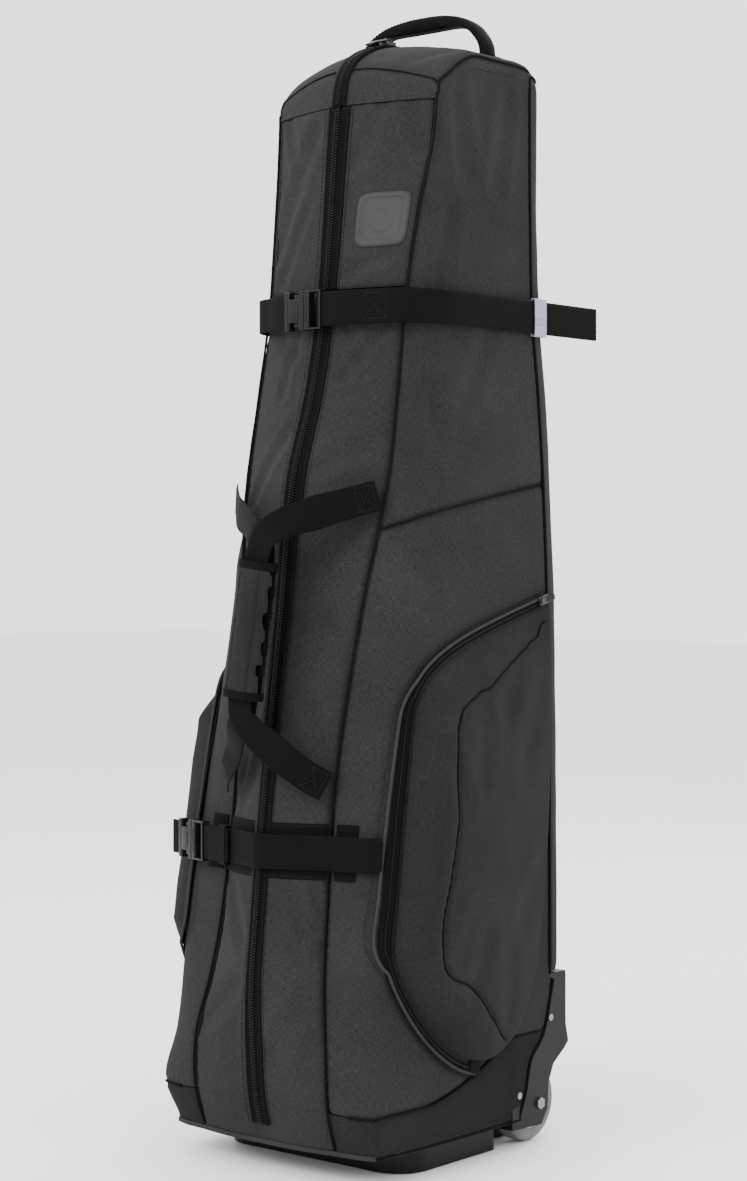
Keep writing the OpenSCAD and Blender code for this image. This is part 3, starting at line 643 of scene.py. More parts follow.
def folds(points, plan, ends, s):
    """Inward depth of the folds at each point of a panel."""
    depth = np.zeros(points.shape[:-1])
    for z0, u0, z1, u1, width, deep in ends:
        t = np.linspace(0, 1, 7)
        line = mirror(wall(plan, mix(z0, z1, t), mix(u0, u1, t), 0.0), s)
        d = near_line(points, line)
        depth += deep * (bell(d, width) - 0.35 * bell(d - 1.9 * width, width * 0.7))
    return depth


def puckers(along, seam, reach=13.0, pitch=15.0, deep=0.9):
    """Small gathers that run into a seam; seam is the distance from it."""
    beat = np.sin(along * 2 * math.pi / pitch + 1.7 * np.sin(along / 41.0)) * np.sin(along / 67.0 + 0.6)
    return deep * (0.5 + 0.5 * beat) * bell(seam, reach)


def seam_dip(seam, deep=2.6, width=4.2):
    return deep * bell(seam, width)


PATCH_LOW, PATCH_HIGH = 320, 380
STRAP_Z, LOWER_Z = 944, 350
ZIP_EDGE = 0.105


def front_relief(z, u, s, ends, badge=False):
    p = mirror(wall(FRONT, z, u, 0.0), s)
    width = station(z, 2) * 1.04
    seam, zip_gap = (1 - u) * width, (u - ZIP_EDGE) * width
    soft = 1.6 * (0.5 + 0.5 * ripple(p, 210, 3 + s)) + 0.12 * (0.5 + 0.5 * ripple(p, 60, 9 + s))
    depth = soft + folds(p, FRONT, ends, s)
    flat = 1 - 0.9 * np.exp(-(np.maximum(0, np.abs(z - LOWER_Z) - 30) / 8) ** 2)
    if badge:
        calm = np.maximum(np.abs(z - 1043) - 30, 0) ** 2 + np.maximum(np.abs(u - 0.6) * 110 - 33, 0) ** 2
        flat = flat * (1 - 0.95 * np.exp(-calm / 120))
    depth = depth * flat * np.clip(zip_gap / 14, 0.1, 1)
    depth += seam_dip(seam) + puckers(z, seam) * flat
    depth += 2.9 * (1 - 1 / (1 + np.exp(-(zip_gap + 1.0) / 0.7))) + 0.5 * puckers(z, np.abs(zip_gap), 9, 11)
    return depth


def side_relief(p, u, z, s, low_seam, high_seam, pocket=None):
    depth = 2.2 * (0.5 + 0.5 * ripple(p, 260, 21 + s)) + 0.12 * (0.5 + 0.5 * ripple(p, 70, 31 + s))
    depth = depth + folds(p, SIDE, SIDE_FOLDS, s)
    if pocket is not None:
        depth = depth * np.clip(pocket / 26, 0.0, 1)
    front_seam = u * 330
    rear_seam = (1 - u) * 330
    depth = depth * np.clip(rear_seam / 30, 0.15, 1) * np.clip(front_seam / 10, 0.3, 1)
    depth += seam_dip(front_seam) + puckers(z, front_seam)
    depth += seam_dip(rear_seam, 1.2) + 0.6 * puckers(z, rear_seam)
    along = u * 330
    for seam in (low_seam, high_seam):
        depth += seam_dip(seam, 2.2, 3.6) + 0.7 * puckers(along, seam)
    return depth


# ---------------------------------------------------------------- front panels and flaps
def front_piece(name, s, z0, z1, u1, rows, material, body, node, ends, badge=False):
    z, u = np.meshgrid(np.linspace(z0, z1, rows), np.linspace(0.02, u1, 46), indexing="ij")
    depth = front_relief(z, u, s, ends, badge)
    edge = z1 - z if z0 < 100 else np.minimum(z - z0, z1 - z)
    depth = depth + 1.3 * bell(edge, 1.6)
    outer = mirror(wall(FRONT, z, u, depth), s)
    inner = mirror(wall(FRONT, z, u, np.maximum(depth + 1.6, PANEL_T)), s)
    o = sheet(name, outer, inner, material, body, (node,))
    return o


for s, side in SIDES:
    lower = front_piece(f"front_panel_{side}_fabric", s, 77, 965.3, 0.985, 330, FABRIC, "case",
                        f"front_panel_{side}", FRONT_FOLDS[s])
    flap = front_piece(f"front_flap_{side}_fabric", s, 967.2, 1176, 0.966, 90, FABRIC, f"flap_{side}",
                       f"front_flap_{side}", FLAP_FOLDS[s], badge=s > 0)
    z, u = np.meshgrid(np.linspace(962, 1184, 60), np.linspace(0.925, 1.0, 14), indexing="ij")
    under = mix(5.2, 1.2, np.clip((u - 0.968) / 0.02, 0, 1))
    sheet(f"flap_hinge_gusset_{side}", mirror(wall(FRONT, z, u, under), s),
          mirror(wall(FRONT, z, u, under + 1.2), s),
          FABRIC, "case")
    cord = mirror(wall(FRONT, np.linspace(962, 1180, 90), 1.0, 3.4), s)
    v, f, w = tube(cord, 2.8, 10)
    piece(f"corner_cord_{side}", v, f, FABRIC, "case", (), w, 60)


# ---------------------------------------------------------------- side panels
def band_z(y):
    y = np.asarray(y, float)
    return np.where(y < -60, 76, np.where(y < 90, 76 + 52 * (np.clip(y + 60, 0, 150) / 150) ** 1.6, 128))


SPLIT = (698, 752)
FENDER_Y, FENDER_LOW = (152, 171), (129.5, 187)


def side_low_z(y):
    y = np.asarray(y, float)
    low = np.where(y < 90, band_z(y) + 0.5, 129.5)
    return np.where(y > FENDER_Y[0], np.interp(y, FENDER_Y, FENDER_LOW), low)


def pocket_top(t):
    return bezier3(*np.array([[-69, 486], [-57, 556], [24, 574], [166, 612]], float), t)


def pocket_front(t):
    return bezier2(*np.array([[-112, 252], [-91, 386], [-69, 486]], float), t)


def pocket_bottom(t):
    return bezier3(*np.array([[-112, 252], [-114, 206], [-4, 66], [78, 126]], float), t)


def pocket_rear(t):
    return bezier3(*np.array([[78, 126], [132, 150], [160, 270], [166, 612]], float), t)


def pocket_plan(a, b):
    a1, b1 = a[..., None], b[..., None]
    corners = mix(mix(pocket_bottom(0.0), pocket_bottom(1.0), a1),
                  mix(pocket_top(0.0), pocket_top(1.0), a1), b1)
    return mix(pocket_bottom(a), pocket_top(a), b1) + mix(pocket_front(b), pocket_rear(b), a1) - corners


def pocket_rise(a, b):
    q = np.minimum(np.minimum(a * 3.6, b * 5.2), np.minimum((1 - b) * 5.2, 1))
    return 5 + 39 * (1 - (1 - q) ** 2.2) * (1 - 0.94 * a ** 2.4)


ZIP_END_Y = 16


def pocket_line(off, step=4.0, end_y=ZIP_END_Y):
    raw = np.vstack([pocket_top(np.arange(1, 0.05, -0.1)), pocket_front(np.arange(1, 0.05, -0.2)),
                     pocket_bottom(np.arange(0, 0.99, 0.14))])
    d = np.gradient(raw, axis=0)
    d /= np.linalg.norm(d, axis=1, keepdims=True)
    line = raw + off * np.stack([d[:, 1], -d[:, 0]], -1)
    line = curve(np.column_stack([line, 0 * line[:, 0]]), step)[:, :2]
    low = (line[:, 1] < 200) & (line[:, 0] > end_y)
    return line[~low]


POCKET_EDGE = pocket_line(8)
for s, side in SIDES:
    u = np.linspace(0, 0.995, 110)[None, :]
    y = side_xy(120, u)[..., 1]
    t = np.linspace(0, 1, 190)[:, None]
    low, high = side_low_z(y), mix(*SPLIT, u) - 0.5
    z = mix(low, high, t)
    u = np.broadcast_to(u, z.shape)
    bare = mirror(wall(SIDE, z, u, 0.0), s)
    gap = near_line(bare[..., 1:], POCKET_EDGE)
    depth = side_relief(bare, u, z, s, z - low, high - z, gap)
    depth += 1.2 * bell(gap, 9)
    over_wheel = np.clip((bare[..., 1] - 84) / 12, 0, 1) * np.clip((210 - z) / 40, 0, 1)
    depth = depth * (1 - over_wheel) - 1.2 * over_wheel
    outer = mirror(wall(SIDE, z, u, depth), s)
    thick = mix(PANEL_T, 1.0, over_wheel)
    inner = mirror(wall(SIDE, z, u,
                        np.maximum(depth + thick,
                                   np.minimum(thick, PANEL_T) * (1 - over_wheel) - over_wheel)), s)
    o = sheet(f"side_panel_{side}_lower_fabric", outer, inner, FABRIC, "case",
              (f"side_panel_{side}_lower",))

    u = np.linspace(0, 0.995, 110)[None, :]
    q = side_xy(1215, u)
    t = np.linspace(0, 1, 150)[:, None]
    low, high = mix(*SPLIT, u), rim_z(q[..., 0], q[..., 1]) - 1.0
    z = mix(low, high, t)
    u = np.broadcast_to(u, z.shape)
    bare = mirror(wall(SIDE, z, u, 0.0), s)
    depth = side_relief(bare, u, z, s, z - low, 400 + 0 * z)
    depth = depth * np.clip((high - z) / 12, 0, 1)
    o = sheet(f"side_panel_{side}_upper_fabric", mirror(wall(SIDE, z, u, depth), s),
              mirror(wall(SIDE, z, u, np.maximum(depth + 1.6, PANEL_T)), s), FABRIC, "case",
              (f"side_panel_{side}_upper",))

# ---------------------------------------------------------------- back panel
a = np.linspace(-1, 1, 121)[None, :]
q = back_xy(1200, 1 - np.abs(a))
low, high = 192.0, rim_z(q[..., 0], q[..., 1]) - 1.0
z = mix(low, high, np.linspace(0, 1, 220)[:, None])
a = np.broadcast_to(a, z.shape)
bare = wall(BACK, z, 1 - np.abs(a), 0.0)
bare[..., 0] *= np.where(a < 0, -1, 1)
depth = 1.6 * (0.5 + 0.5 * ripple(bare, 190, 41)) + 0.5 * (0.5 + 0.5 * ripple(bare, 55, 43))
depth *= np.clip((1 - np.abs(a)) * 8, 0.1, 1) * np.clip((high - z) / 15, 0, 1)
depth += seam_dip(z - low, 1.5)
for seam_x in (-84, 84):
    depth += (seam_dip(np.abs(bare[..., 0] - seam_x), 1.6, 3.0)
              + 0.5 * puckers(z, np.abs(bare[..., 0] - seam_x)))


def back_grid(inset):
    p = wall(BACK, z, 1 - np.abs(a), inset)
    p[..., 0] *= np.where(a < 0, -1, 1)
    return p


o = sheet("back_panel_fabric", back_grid(depth), back_grid(np.maximum(depth + 1.6, PANEL_T)), FABRIC,
          "case",
          ("back_panel",))


# ---------------------------------------------------------------- domed top, with its front drop
def top_plan(a, b):
    s = np.where(a < 0, -1, 1)
    m = np.abs(a)
    f, k, w = front_xy(1200, m), back_xy(1200, 1 - m), side_xy(1200, b)
    c0, c1 = front_xy(1200, 1.0), back_xy(1200, 0.0)
    x = mix(f[..., 0], k[..., 0], b) + m * (w[..., 0] - mix(c0[0], c1[0], b))
    y = mix(f[..., 1], k[..., 1], b) + m * (w[..., 1] - mix(c0[1], c1[1], b))
    return s * x, y


def top_point(a, b, sink=0.0):
    x, y = top_plan(a, b)
    dist = np.minimum(np.minimum((1 - np.abs(a)) * 118, b * 195), (1 - b) * 195)
    q = np.maximum(0, 1 - dist / EDGE_R)
    z = dome_z(x, y) - EDGE_R * (1 - np.sqrt(np.maximum(0, 1 - q * q)))
    return np.stack([x, y, z - sink], -1)


steps = np.r_[0, 0.006, 0.014, 0.025, 0.04, 0.06, 0.085, 0.11, np.linspace(0.14, 0.86, 46), 0.89, 0.915,
              0.94, 0.96,
              0.975, 0.986, 0.994, 1]
side_steps = np.r_[np.linspace(0, 0.8, 40), 0.83, 0.86, 0.885, 0.91, 0.93, 0.95, 0.965, 0.978, 0.988, 0.995,
                   1]
a, b = np.meshgrid(np.r_[-side_steps[:0:-1], side_steps], steps)
bare = top_point(a, b)
V_FOLD = [np.array([[36, 14, 1232], [52, 6, 1219], [64, 4, 1210]], float),
          np.array([[64, 4, 1210], [80, 24, 1225], [96, 52, 1236]], float),
          np.array([[-70, 10, 1212], [-48, 30, 1232], [-30, 62, 1246]], float)]
sink = 1.4 * (0.5 + 0.5 * ripple(bare, 95, 51)) + 0.5 * (0.5 + 0.5 * ripple(bare, 40, 53))
for line, deep in zip(V_FOLD, (3.6, 4.2, 2.6)):
    sink += deep * bell(near_line(bare, line), 8)
seam_gap = np.abs(b * 195 - 9)
sink += 1.6 * bell(seam_gap, 2.2) * (np.abs(a) < 0.97)
sink += 2.0 * bell(np.abs(np.abs(a) - 0.955) * 118, 3.0)
edge = np.minimum(np.minimum((1 - np.abs(a)) * 118, b * 195), (1 - b) * 195)
sink = sink * np.clip(edge / 6, 0, 1)
sink = np.where(np.abs(bare[..., 0]) < 9, np.minimum(sink, 0.5), sink)
top = top_point(a, b, sink)
under = top_point(a * 0.975, 0.03 + b * 0.94, PANEL_T)
under[..., 2] = np.minimum(under[..., 2], top[..., 2] - 1.2)
drop_u = np.abs(a[0])
drops = []
for z in (1176.8, 1180, 1184, 1188):
    p = wall(FRONT, z + 0 * drop_u, drop_u, 0.0)
    p[:, 0] *= np.sign(a[0])
    p[:, 2] = np.minimum(z, top[0, :, 2] - 0.4 * (1190 - z) / 4 - 0.2)
    drops.append(p)
drops = np.array(drops)
drops_in = drops.copy()
drops_in[..., 0] *= 0.97
drops_in[..., 1] += 3.5
o = sheet("top_panel_fabric", np.concatenate([drops, top]), np.concatenate([drops_in, under]), FABRIC,
          "case",
          ("top_panel",), 50)
a, b = np.meshgrid(np.linspace(-0.72, 0.72, 24), np.linspace(0.14, 0.86, 24))
x, y = top_plan(a, b)
rim = np.clip(np.minimum(0.72 - np.abs(a), np.minimum(b - 0.14, 0.86 - b)) / 0.1, 0, 1)
z = dome_z(x, y) - PANEL_T - 5.5
swell = 5.5 * np.sqrt(1 - (1 - rim) ** 2)
o = sheet("top_padding_foam", np.stack([x, y, z - 6 + swell], -1), np.stack([x, y, z - 6.5 - swell], -1),
          LINING, "case",
          ("top_padding",))

# ---------------------------------------------------------------- bottom band, rolled under
END_Z = [28, 32, 60, 97, 115, 130]
END_Y = [106, 109, 116, 125, 143, 153]
levels = np.r_[28.4, 28.8, 30, 32.5, 36, np.linspace(38, 76, 16)]
insets = np.interp(levels, [28.4, 28.8, 30, 32.5, 36], [7, 3.2, 0.8, -0.5, -0.8]) * (levels < 37)


def band_columns():
    """Front-curve and side-curve values round the case, from the left rear to the right rear."""
    side = np.linspace(0, 1, 70)
    front = np.linspace(0, 1, 44)[1:]
    return ([(-1, SIDE, u) for u in side[::-1]] + [(-1, FRONT, u) for u in front[:-1][::-1]]
            + [(1, FRONT, u) for u in np.r_[0, front[:-1]]] + [(1, SIDE, u) for u in side])


def band_point_row(i, columns):
    level, row_out, row_in = levels[i], [], []
    share = (level - 36) / 40
    for s, plan, t in columns:
        if plan is SIDE:
            far = side_u(60.0, np.interp(level if level < 36 else mix(36, 128, share), END_Z, END_Y))
            u = t * float(far)
            top_z = float(band_z(side_xy(60.0, u)[1])) - 0.5
        else:
            u, top_z = t, 76.8
        z = level if level < 36 else mix(36, top_z, share)
        p = wall(plan, z, u, 0.0)
        across = p * [s, 1, 1]
        along = u * 330 if plan is SIDE else -(1 - u) * 100
        soft = 0.9 * (0.5 + 0.5 * float(ripple(across, 90, 61))) * min(1, max(0, share * 3))
        if plan is FRONT:
            soft += 2.5 * float(seam_dip((1 - u) * 100)) / 2.6 + (2.2 if u < 0.1 else 0)
        else:
            soft += float(seam_dip(u * 330)) * 0.9
        if plan is SIDE:
            soft += 1.8 * float(bell(top_z - z, 3.4)) + 0.6 * float(puckers(along, top_z - z))
        else:
            soft = (float(front_relief(np.array(77.0), np.array(max(u, 0.02)), s, FRONT_FOLDS[s]))
                    * min(1, max(0, share * 2)))
        over = min(1.0, max(0.0, (p[1] - 84) / 12)) if plan is SIDE else 0.0
        depth = mix(soft * (level >= 36), -1.3, over) + insets[i]
        row_out.append(wall(plan, z, u, depth) * [s, 1, 1])
        thick = mix(2.2, 1.0, over)
        row_in.append((wall(plan, z, u, depth + thick) + [0, 0, 0.6 if level < 36 else 0]) * [s, 1, 1])
    return row_out, row_in


columns = band_columns()
rows = [band_point_row(i, columns) for i in range(len(levels))]
band_out, band_in = np.array([r[0] for r in rows]), np.array([r[1] for r in rows])
# painted shade: the band's sides take the darker copy of the heather cloth, and its front faces keep the
# plain cloth
o = sheet("base_band_fabric", band_out, band_in, BAND_SIDE_SHADED_FABRIC, "case", ("base_band",), 60)
o.data.materials.append(FABRIC)
is_front = [plan is FRONT for _, plan, _ in columns]
wide, tall = len(columns), len(levels)
for face in o.data.polygons:
    spots = [v % (wide * tall) % wide for v in face.vertices]
    if all(is_front[c] for c in spots):
        face.material_index = 1
v, f, w = tube(band_out[3] + [0, 0, -0.6], 2.2, 10)
piece("base_band_binding", v, f, PIPING, "case", (), w)
for s, side in SIDES:
    edge_yz = np.array([[108, 31], [112, 45], [117, 62], [125, 97], [142, 114], [153, 129], [163, 160],
                        [170, 184]], float)
    line = curve(np.column_stack([edge_yz, 0 * edge_yz[:, 0]]), 3)[:, :2]
    v, f, w = tube(mirror(on_side(line, 1.6), s), 2.2, 10)
    piece(f"fender_binding_{side}", v, f, PIPING, "case", (), w)

# ---------------------------------------------------------------- seams with piping
def seam_path(z0, z1, off, step=3.0):
    z = np.arange(z0, z1, step)
    q = np.array([0.55, -0.83]) / math.hypot(0.55, 0.83)
    return np.stack([station(z, 2) + off * q[0], station(z, 3) + off * q[1], z], -1)


for s, side in SIDES:
    path = seam_path(36, 1184, 0.4)
    x, y = top_plan(np.array([1.0, 0.998, 0.985, 0.962, 0.955]), np.array([0.0, 0.01, 0.03, 0.08, 0.14]))
    over_b = np.r_[0.2, 0.3, 0.4, 0.5, 0.6, 0.7, 0.8, 0.9, 0.96]
    head = [top_point(np.array(m), np.array(n), -0.6) for m,
            n in ((0.998, 0.012), (0.985, 0.03), (0.964, 0.07), (0.955, 0.12))]
    head += [top_point(np.array(0.955), np.array(n), -0.6) for n in over_b]
    path = curve(np.vstack([path[::6], seam_path(1180, 1184, 0.6), head]), 3.0)
    wobble = 0.25 * np.sin(lengths(path) / 11)
    v, f, w = tube(mirror(path, s), 1.5 + wobble * 0.3, 8)
    piece(f"front_piping_{side}_cord", v, f, SEAM, "case", (f"front_piping_{side}",), w)
    t = np.linspace(0.004, 0.99, 130)
    line = wall(SIDE, mix(*SPLIT, t), t, 1.2)
    v, f, w = tube(mirror(line, s), 1.3, 8)
    piece(f"side_split_seam_{side}", v, f, SEAM, "case", (), w)
    y = np.linspace(-150, 152, 130)
    u = side_u(60.0, y)
    line = wall(SIDE, band_z(y), u, 1.0 - 2.4 * np.clip((y - 84) / 12, 0, 1))
    v, f, w = tube(mirror(line, s), 1.3, 8)
    piece(f"band_seam_{side}", v, f, SEAM, "case", (), w)
    corner = wall(SIDE, np.linspace(190, 1222, 300), 0.992, 0.2)
    v, f, w = tube(mirror(corner, s), 1.9, 8)
    piece(f"rear_corner_piping_{side}", v, f, PIPING, "case", (), w)

rear_rim = [top_point(np.array(m), np.array(0.985), -0.8) for m in np.linspace(-0.955, 0.955, 90)]
v, f, w = tube(np.array(rear_rim), 1.9, 8)
piece("rear_rim_piping", v, f, PIPING, "case", (), w)
for s, side in SIDES:
    m = np.linspace(0.085, 0.985, 50) * s
    v, f, w = tube(top_point(m, np.full(50, 9 / 195), 0.9), 1.0, 8)
    piece(f"top_front_seam_{side}", v, f, SEAM, "case", (), w)

# ---------------------------------------------------------------- the long zip down the front
TOOTH_PITCH = 3.0


def zip_side(name, s, z0, z1, body, node):
    """One half of the zip: tape, a row of teeth, the folded fabric lip beside it and its stitching."""
    z, u = np.meshgrid(np.arange(z0, z1 + 0.1, 5.0), np.linspace(0.013, 0.108, 7), indexing="ij")
    tape_in = mirror(wall(FRONT, z, u, 0.9), s)
    tape = mirror(wall(FRONT, z, u, -0.1 - 0.5 * bell(u * 100, 2.0)), s)
    v, f, w = shell(tape, tape_in)
    piece(f"{name}_tape", v, f, ZIP_TAPE, body, (node,), w)
    parts = []
    for level in np.arange(z0 + 2, z1 - 2, TOOTH_PITCH):
        tooth = rounded_box([-0.4, -0.9, -0.8], [3.0, 0.6, 0.8], 0.35, 1)
        at = wall(FRONT, level + (0.75 if s > 0 else -0.75), 0.004, -0.55)
        parts.append(placed(tooth, lambda p, at=at: p * [s, 1, 1] + at * [s, 1, 1]))
    v, f, w = joined(parts)
    piece(f"{name}_teeth", v, f, COIL, body, (), w, 50)
    level = np.arange(z0 + 0.6, z1 - 0.3, 2.5)
    wob = 0.35 * np.sin(level / 23 + s) + 0.2 * np.sin(level / 7.3)
    lip = mirror(wall(FRONT, level, ZIP_EDGE + 0.012 + wob * 0.004, -0.3), s)
    v, f, w = tube(lip, 1.9 + 0.12 * wob, 8)
    piece(f"{name}_fabric_lip", v, f, FABRIC if s < 0 else SEAM, body, (), w)
    stitch_line = mirror(wall(FRONT, level[::2], ZIP_EDGE + 0.055, 0.25), s)
    sewn(f"{name}_stitching", [(stitch_line, [0.15 * s, -1, 0])], THREAD, body)


for s, side in SIDES:
    zip_side(f"main_zip_{side}", s, 52, 965.3, "case", f"main_zip_{side}")
    zip_side(f"flap_zip_{side}", s, 967.3, 1176, f"flap_{side}", f"flap_zip_{side}")

drop_z = np.array([1177.0, 1181, 1185, 1189])
drop = np.column_stack([0 * drop_z, station(drop_z, 1) - 0.6, drop_z])
ridge_b = np.r_[0.0, 0.012, 0.03, 0.055, 0.08, np.linspace(0.11, 0.46, 14)]
ridge = np.array([top_point(np.array(0.0), np.array(t), -1.0) for t in ridge_b]) + [0, 0, 0.2]
ridge[0, 1] -= 0.8
over = curve(np.vstack([drop, ridge]), 2.5)
way = np.gradient(over, axis=0)
way /= np.linalg.norm(way, axis=1, keepdims=True)
up = np.column_stack([0 * way[:, 0], -way[:, 2], way[:, 1]])
v, f, w = swept(over - up * 0.8, up, band_profile(17, 1.4, 9, 0.5))
piece("top_zip_tape", v, f, ZIP_TAPE, "case", ("top_zip",), w, 50)
parts = []
along = lengths(over)
for k, t in enumerate(np.arange(1.5, along[-1] * 0.62, TOOTH_PITCH / 2)):
    i = min(int(np.searchsorted(along, t)), len(over) - 1)
    tooth = rounded_box([-0.6, -0.6, -0.6], [2.6, 0.6, 0.7], 0.3, 1)
    at, d, n_ = over[i] + up[i] * 1.1, way[i], up[i]
    parts.append(placed(tooth, lambda p, at=at, d=d, n_=n_,
                        m=(1 if k % 2 else -1): at + p[:, :1] * [m, 0, 0]
                        + p[:, 1:2] * d + p[:, 2:3] * n_))
v, f, w = joined(parts)
piece("top_zip_teeth", v, f, COIL, "case", (), w, 50)
for s, side in SIDES:
    v, f, w = tube(over + [9.4 * s, 0, 0] + up * 0.1, 1.8, 8)
    piece(f"top_zip_fabric_lip_{side}", v, f, FABRIC if s < 0 else SEAM, "case", (), w)
tab = curve(np.array([[0, 61, 1264.0], [0, 54, 1262.6], [0, 46, 1260.4], [0, 36, 1257.6], [0, 27, 1253.8]],
                     float), 1.5)
tip = np.minimum(1, 0.72 + lengths(tab) / 30)
v, f, w = swept(tab, np.tile([0, 0, 1.0], (len(tab), 1)), band_profile(10, 2.0, 8, 0.3), tip)
parts = [(v, f, w), rounded_box([-5, 57.5, 1262.8], [-2.2, 63.6, 1266.0], 0.6),
         rounded_box([2.2, 57.5, 1262.8], [5, 63.6, 1266.0], 0.6)]
v, f, w = joined(parts)
piece("main_zip_puller", v, f, BUCKLE, "zip_pull", ("main_zip_pull",), w, 50)

# ---------------------------------------------------------------- side pockets
INNER_SEAM = np.array([[172, 600], [54, 532], [-30, 488], [-45, 376], [-72, 240], [-14, 199], [43, 146],
                       [85, 118]], float)
for s, side in SIDES:
    body = f"pocket_{side}"
    a, b = np.meshgrid(np.r_[0, 0.006, 0.015, np.linspace(0.03, 0.98, 92), 0.992, 1],
                       np.r_[0, 0.006, 0.015, np.linspace(0.03, 0.97, 118), 0.985, 0.994, 1])
    yz = pocket_plan(a, b)
    rise = pocket_rise(a, b)
    seam = curve(np.column_stack([INNER_SEAM, 0 * INNER_SEAM[:, 0]]), 6)[:, :2]
    line_gap = near_line(yz, seam)
    crisp = np.clip(np.minimum(np.minimum(a, b), 1 - b) * 16, 0, 1)
    space = np.stack([yz[..., 0], yz[..., 1], 0 * a + 100 * s], -1)
    drape = 2.0 * (0.5 + 0.5 * ripple(space, 230, 71 + s)) + 0.15 * (0.5 + 0.5 * ripple(space, 70, 73 + s))
    tension = [([150, 600], [60, 500], 14, 2.4), ([160, 560], [96, 430], 18, 2.0),
               ([-62, 470], [-30, 400], 12, 1.6),
               ([-104, 250], [-50, 300], 14, 1.8), ([64, 140], [60, 230], 16, 1.6),
               ([150, 320], [90, 260], 18, 1.4),
               ([20, 520], [0, 430], 14, 1.4), ([-20, 190], [10, 260], 14, 1.5)]
    for p0, p1, width, deep in tension:
        gap = near_line(yz, np.array([p0, p1], float))
        drape += deep * (bell(gap, width) - 0.3 * bell(gap - 1.8 * width, width * 0.7))
    along = yz @ np.array([0.3, 0.95])
    dip = 3.4 * bell(line_gap, 3.0) + puckers(along, line_gap, 12, 13, 1.0)
    rise = rise - (drape + dip) * crisp * np.clip((rise - 4) / 16, 0.1, 1)
    edge = np.minimum(np.minimum(a, b), 1 - b) * 240
    rise = rise - 1.4 * bell(edge, 3.0)
    outer = mirror(on_side(yz, rise), s)
    inner = mirror(on_side(yz, np.maximum(rise - 2.6, 0.9)), s)
    # the pocket cover uses the darker copy of the heather cloth: painted shade
    o = sheet(f"pocket_cover_{side}_fabric", outer, inner, POCKET_SHADED_FABRIC, body,
              (f"pocket_cover_{side}",), 60)
    keep = (seam[:, 0] < 160) & (seam[:, 1] > 130)
    seam_u = seam[keep]
    flat, flat_yz = outer.reshape(-1, 3), yz.reshape(-1, 2)
    nearest = [int(np.argmin(((flat_yz - q) ** 2).sum(1))) for q in seam_u]
    path = curve(flat[nearest] * 1.0, 5.0)
    for _ in range(3):
        path[1:-1] = (path[:-2] + 2 * path[1:-1] + path[2:]) / 4
    v, f, w = tube(path + [0.4 * s, 0, 0], 1.2, 8)
    piece(f"pocket_inner_seam_{side}", v, f, SEAM, body, (), w)

    lo_, hi_ = pocket_line(3.2, 2.0), pocket_line(11.4, 2.0)
    n = 420
    lo_ = lo_[np.linspace(0, len(lo_) - 1, n).astype(int)]
    hi_ = hi_[np.linspace(0, len(hi_) - 1, n).astype(int)]
    k = np.linspace(0, 1, 9)
    yz = lo_[:, None] + (hi_ - lo_)[:, None] * k[None, :, None]
    form = (4.4 + 0.9 * (1 - np.abs(2 * k - 1) ** 3)[None, :]
            - 1.5 * bell(k - 0.5, 0.09)[None, :] + 0 * yz[..., 0])
    o = sheet(f"pocket_zip_{side}_tape", mirror(on_side(yz, form), s),
              mirror(on_side(yz, 3.1 + 0 * form), s),
              ZIP_TAPE, "case", (f"pocket_zip_{side}",), 60)
    mid = (lo_ + hi_) / 2
    v, f, w = tube(mirror(on_side(mid, 4.4), s), 0.75, 6)
    piece(f"pocket_zip_{side}_coil", v, f, COIL, "case", (), w)
    rim = pocket_line(13, 3.0)
    v, f, w = tube(mirror(on_side(rim, 5.0), s), 1.7, 10)
    piece(f"pocket_piping_{side}_cord", v, f, GREY_PIPING, "case",
          (f"pocket_piping_{side}",), w)
    under = np.array([pocket_line(o_, 3.0)[np.linspace(0, len(pocket_line(o_, 3.0)) - 1, 260).astype(int)]
                      for o_ in (-1.5, 0.5, 2.6)]).transpose(1, 0, 2)
    sheet(f"pocket_zip_{side}_gusset", mirror(on_side(under, 3.0 + 0 * under[..., 0]), s),
          mirror(on_side(under, 2.0 + 0 * under[..., 0]), s), LINING, "case", (), 60)
    end_yz = np.array([[ZIP_END_Y - 7, 0.0], [ZIP_END_Y + 4, 0.0]])
    end_yz[:, 1] = np.interp(end_yz[:, 0], mid[-60:, 0], mid[-60:, 1]) + [1, 2]
    g_a, g_b = np.meshgrid(np.linspace(-1, 1, 13), np.linspace(-1, 1, 13), indexing="ij")
    tab_yz = np.stack([end_yz[:, 0].mean() + 9 * g_a + 2.2 * g_b,
                       end_yz[:, 1].mean() + 10 * g_b - 3.2 * g_a], -1)
    tab_rise = 6.6 - 1.6 * np.clip((np.maximum(np.abs(g_a), np.abs(g_b)) - 0.8) / 0.2, 0, 1) ** 2
    sheet(f"pocket_zip_{side}_end_tab", mirror(on_side(tab_yz, tab_rise), s),
          mirror(on_side(tab_yz, tab_rise - 1.4), s),
          WEBBING, "case", (), 60)
    stitch_path = mirror(on_side(pocket_line(17.5, 3.0), 1.4), s)
    sewn(f"pocket_piping_{side}_stitching", [(stitch_path, [s, -0.2, 0])], THREAD, "case")

    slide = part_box(f"pocket_slider_{side}")
    low, high = np.array(slide[0]) / MM, np.array(slide[1]) / MM
    x0 = low[0] if s > 0 else high[0]
    yc, zc = 150.0, 619.0
    tilt = math.radians(15)

    def slider_place(p, s=s, x0=x0):
        y, zz = (p[:, 1] * math.cos(tilt) - p[:, 2] * math.sin(tilt),
                 p[:, 1] * math.sin(tilt) + p[:, 2] * math.cos(tilt))
        return np.stack([x0 + s * (p[:, 0] + 1), yc + y, zc + zz], -1)

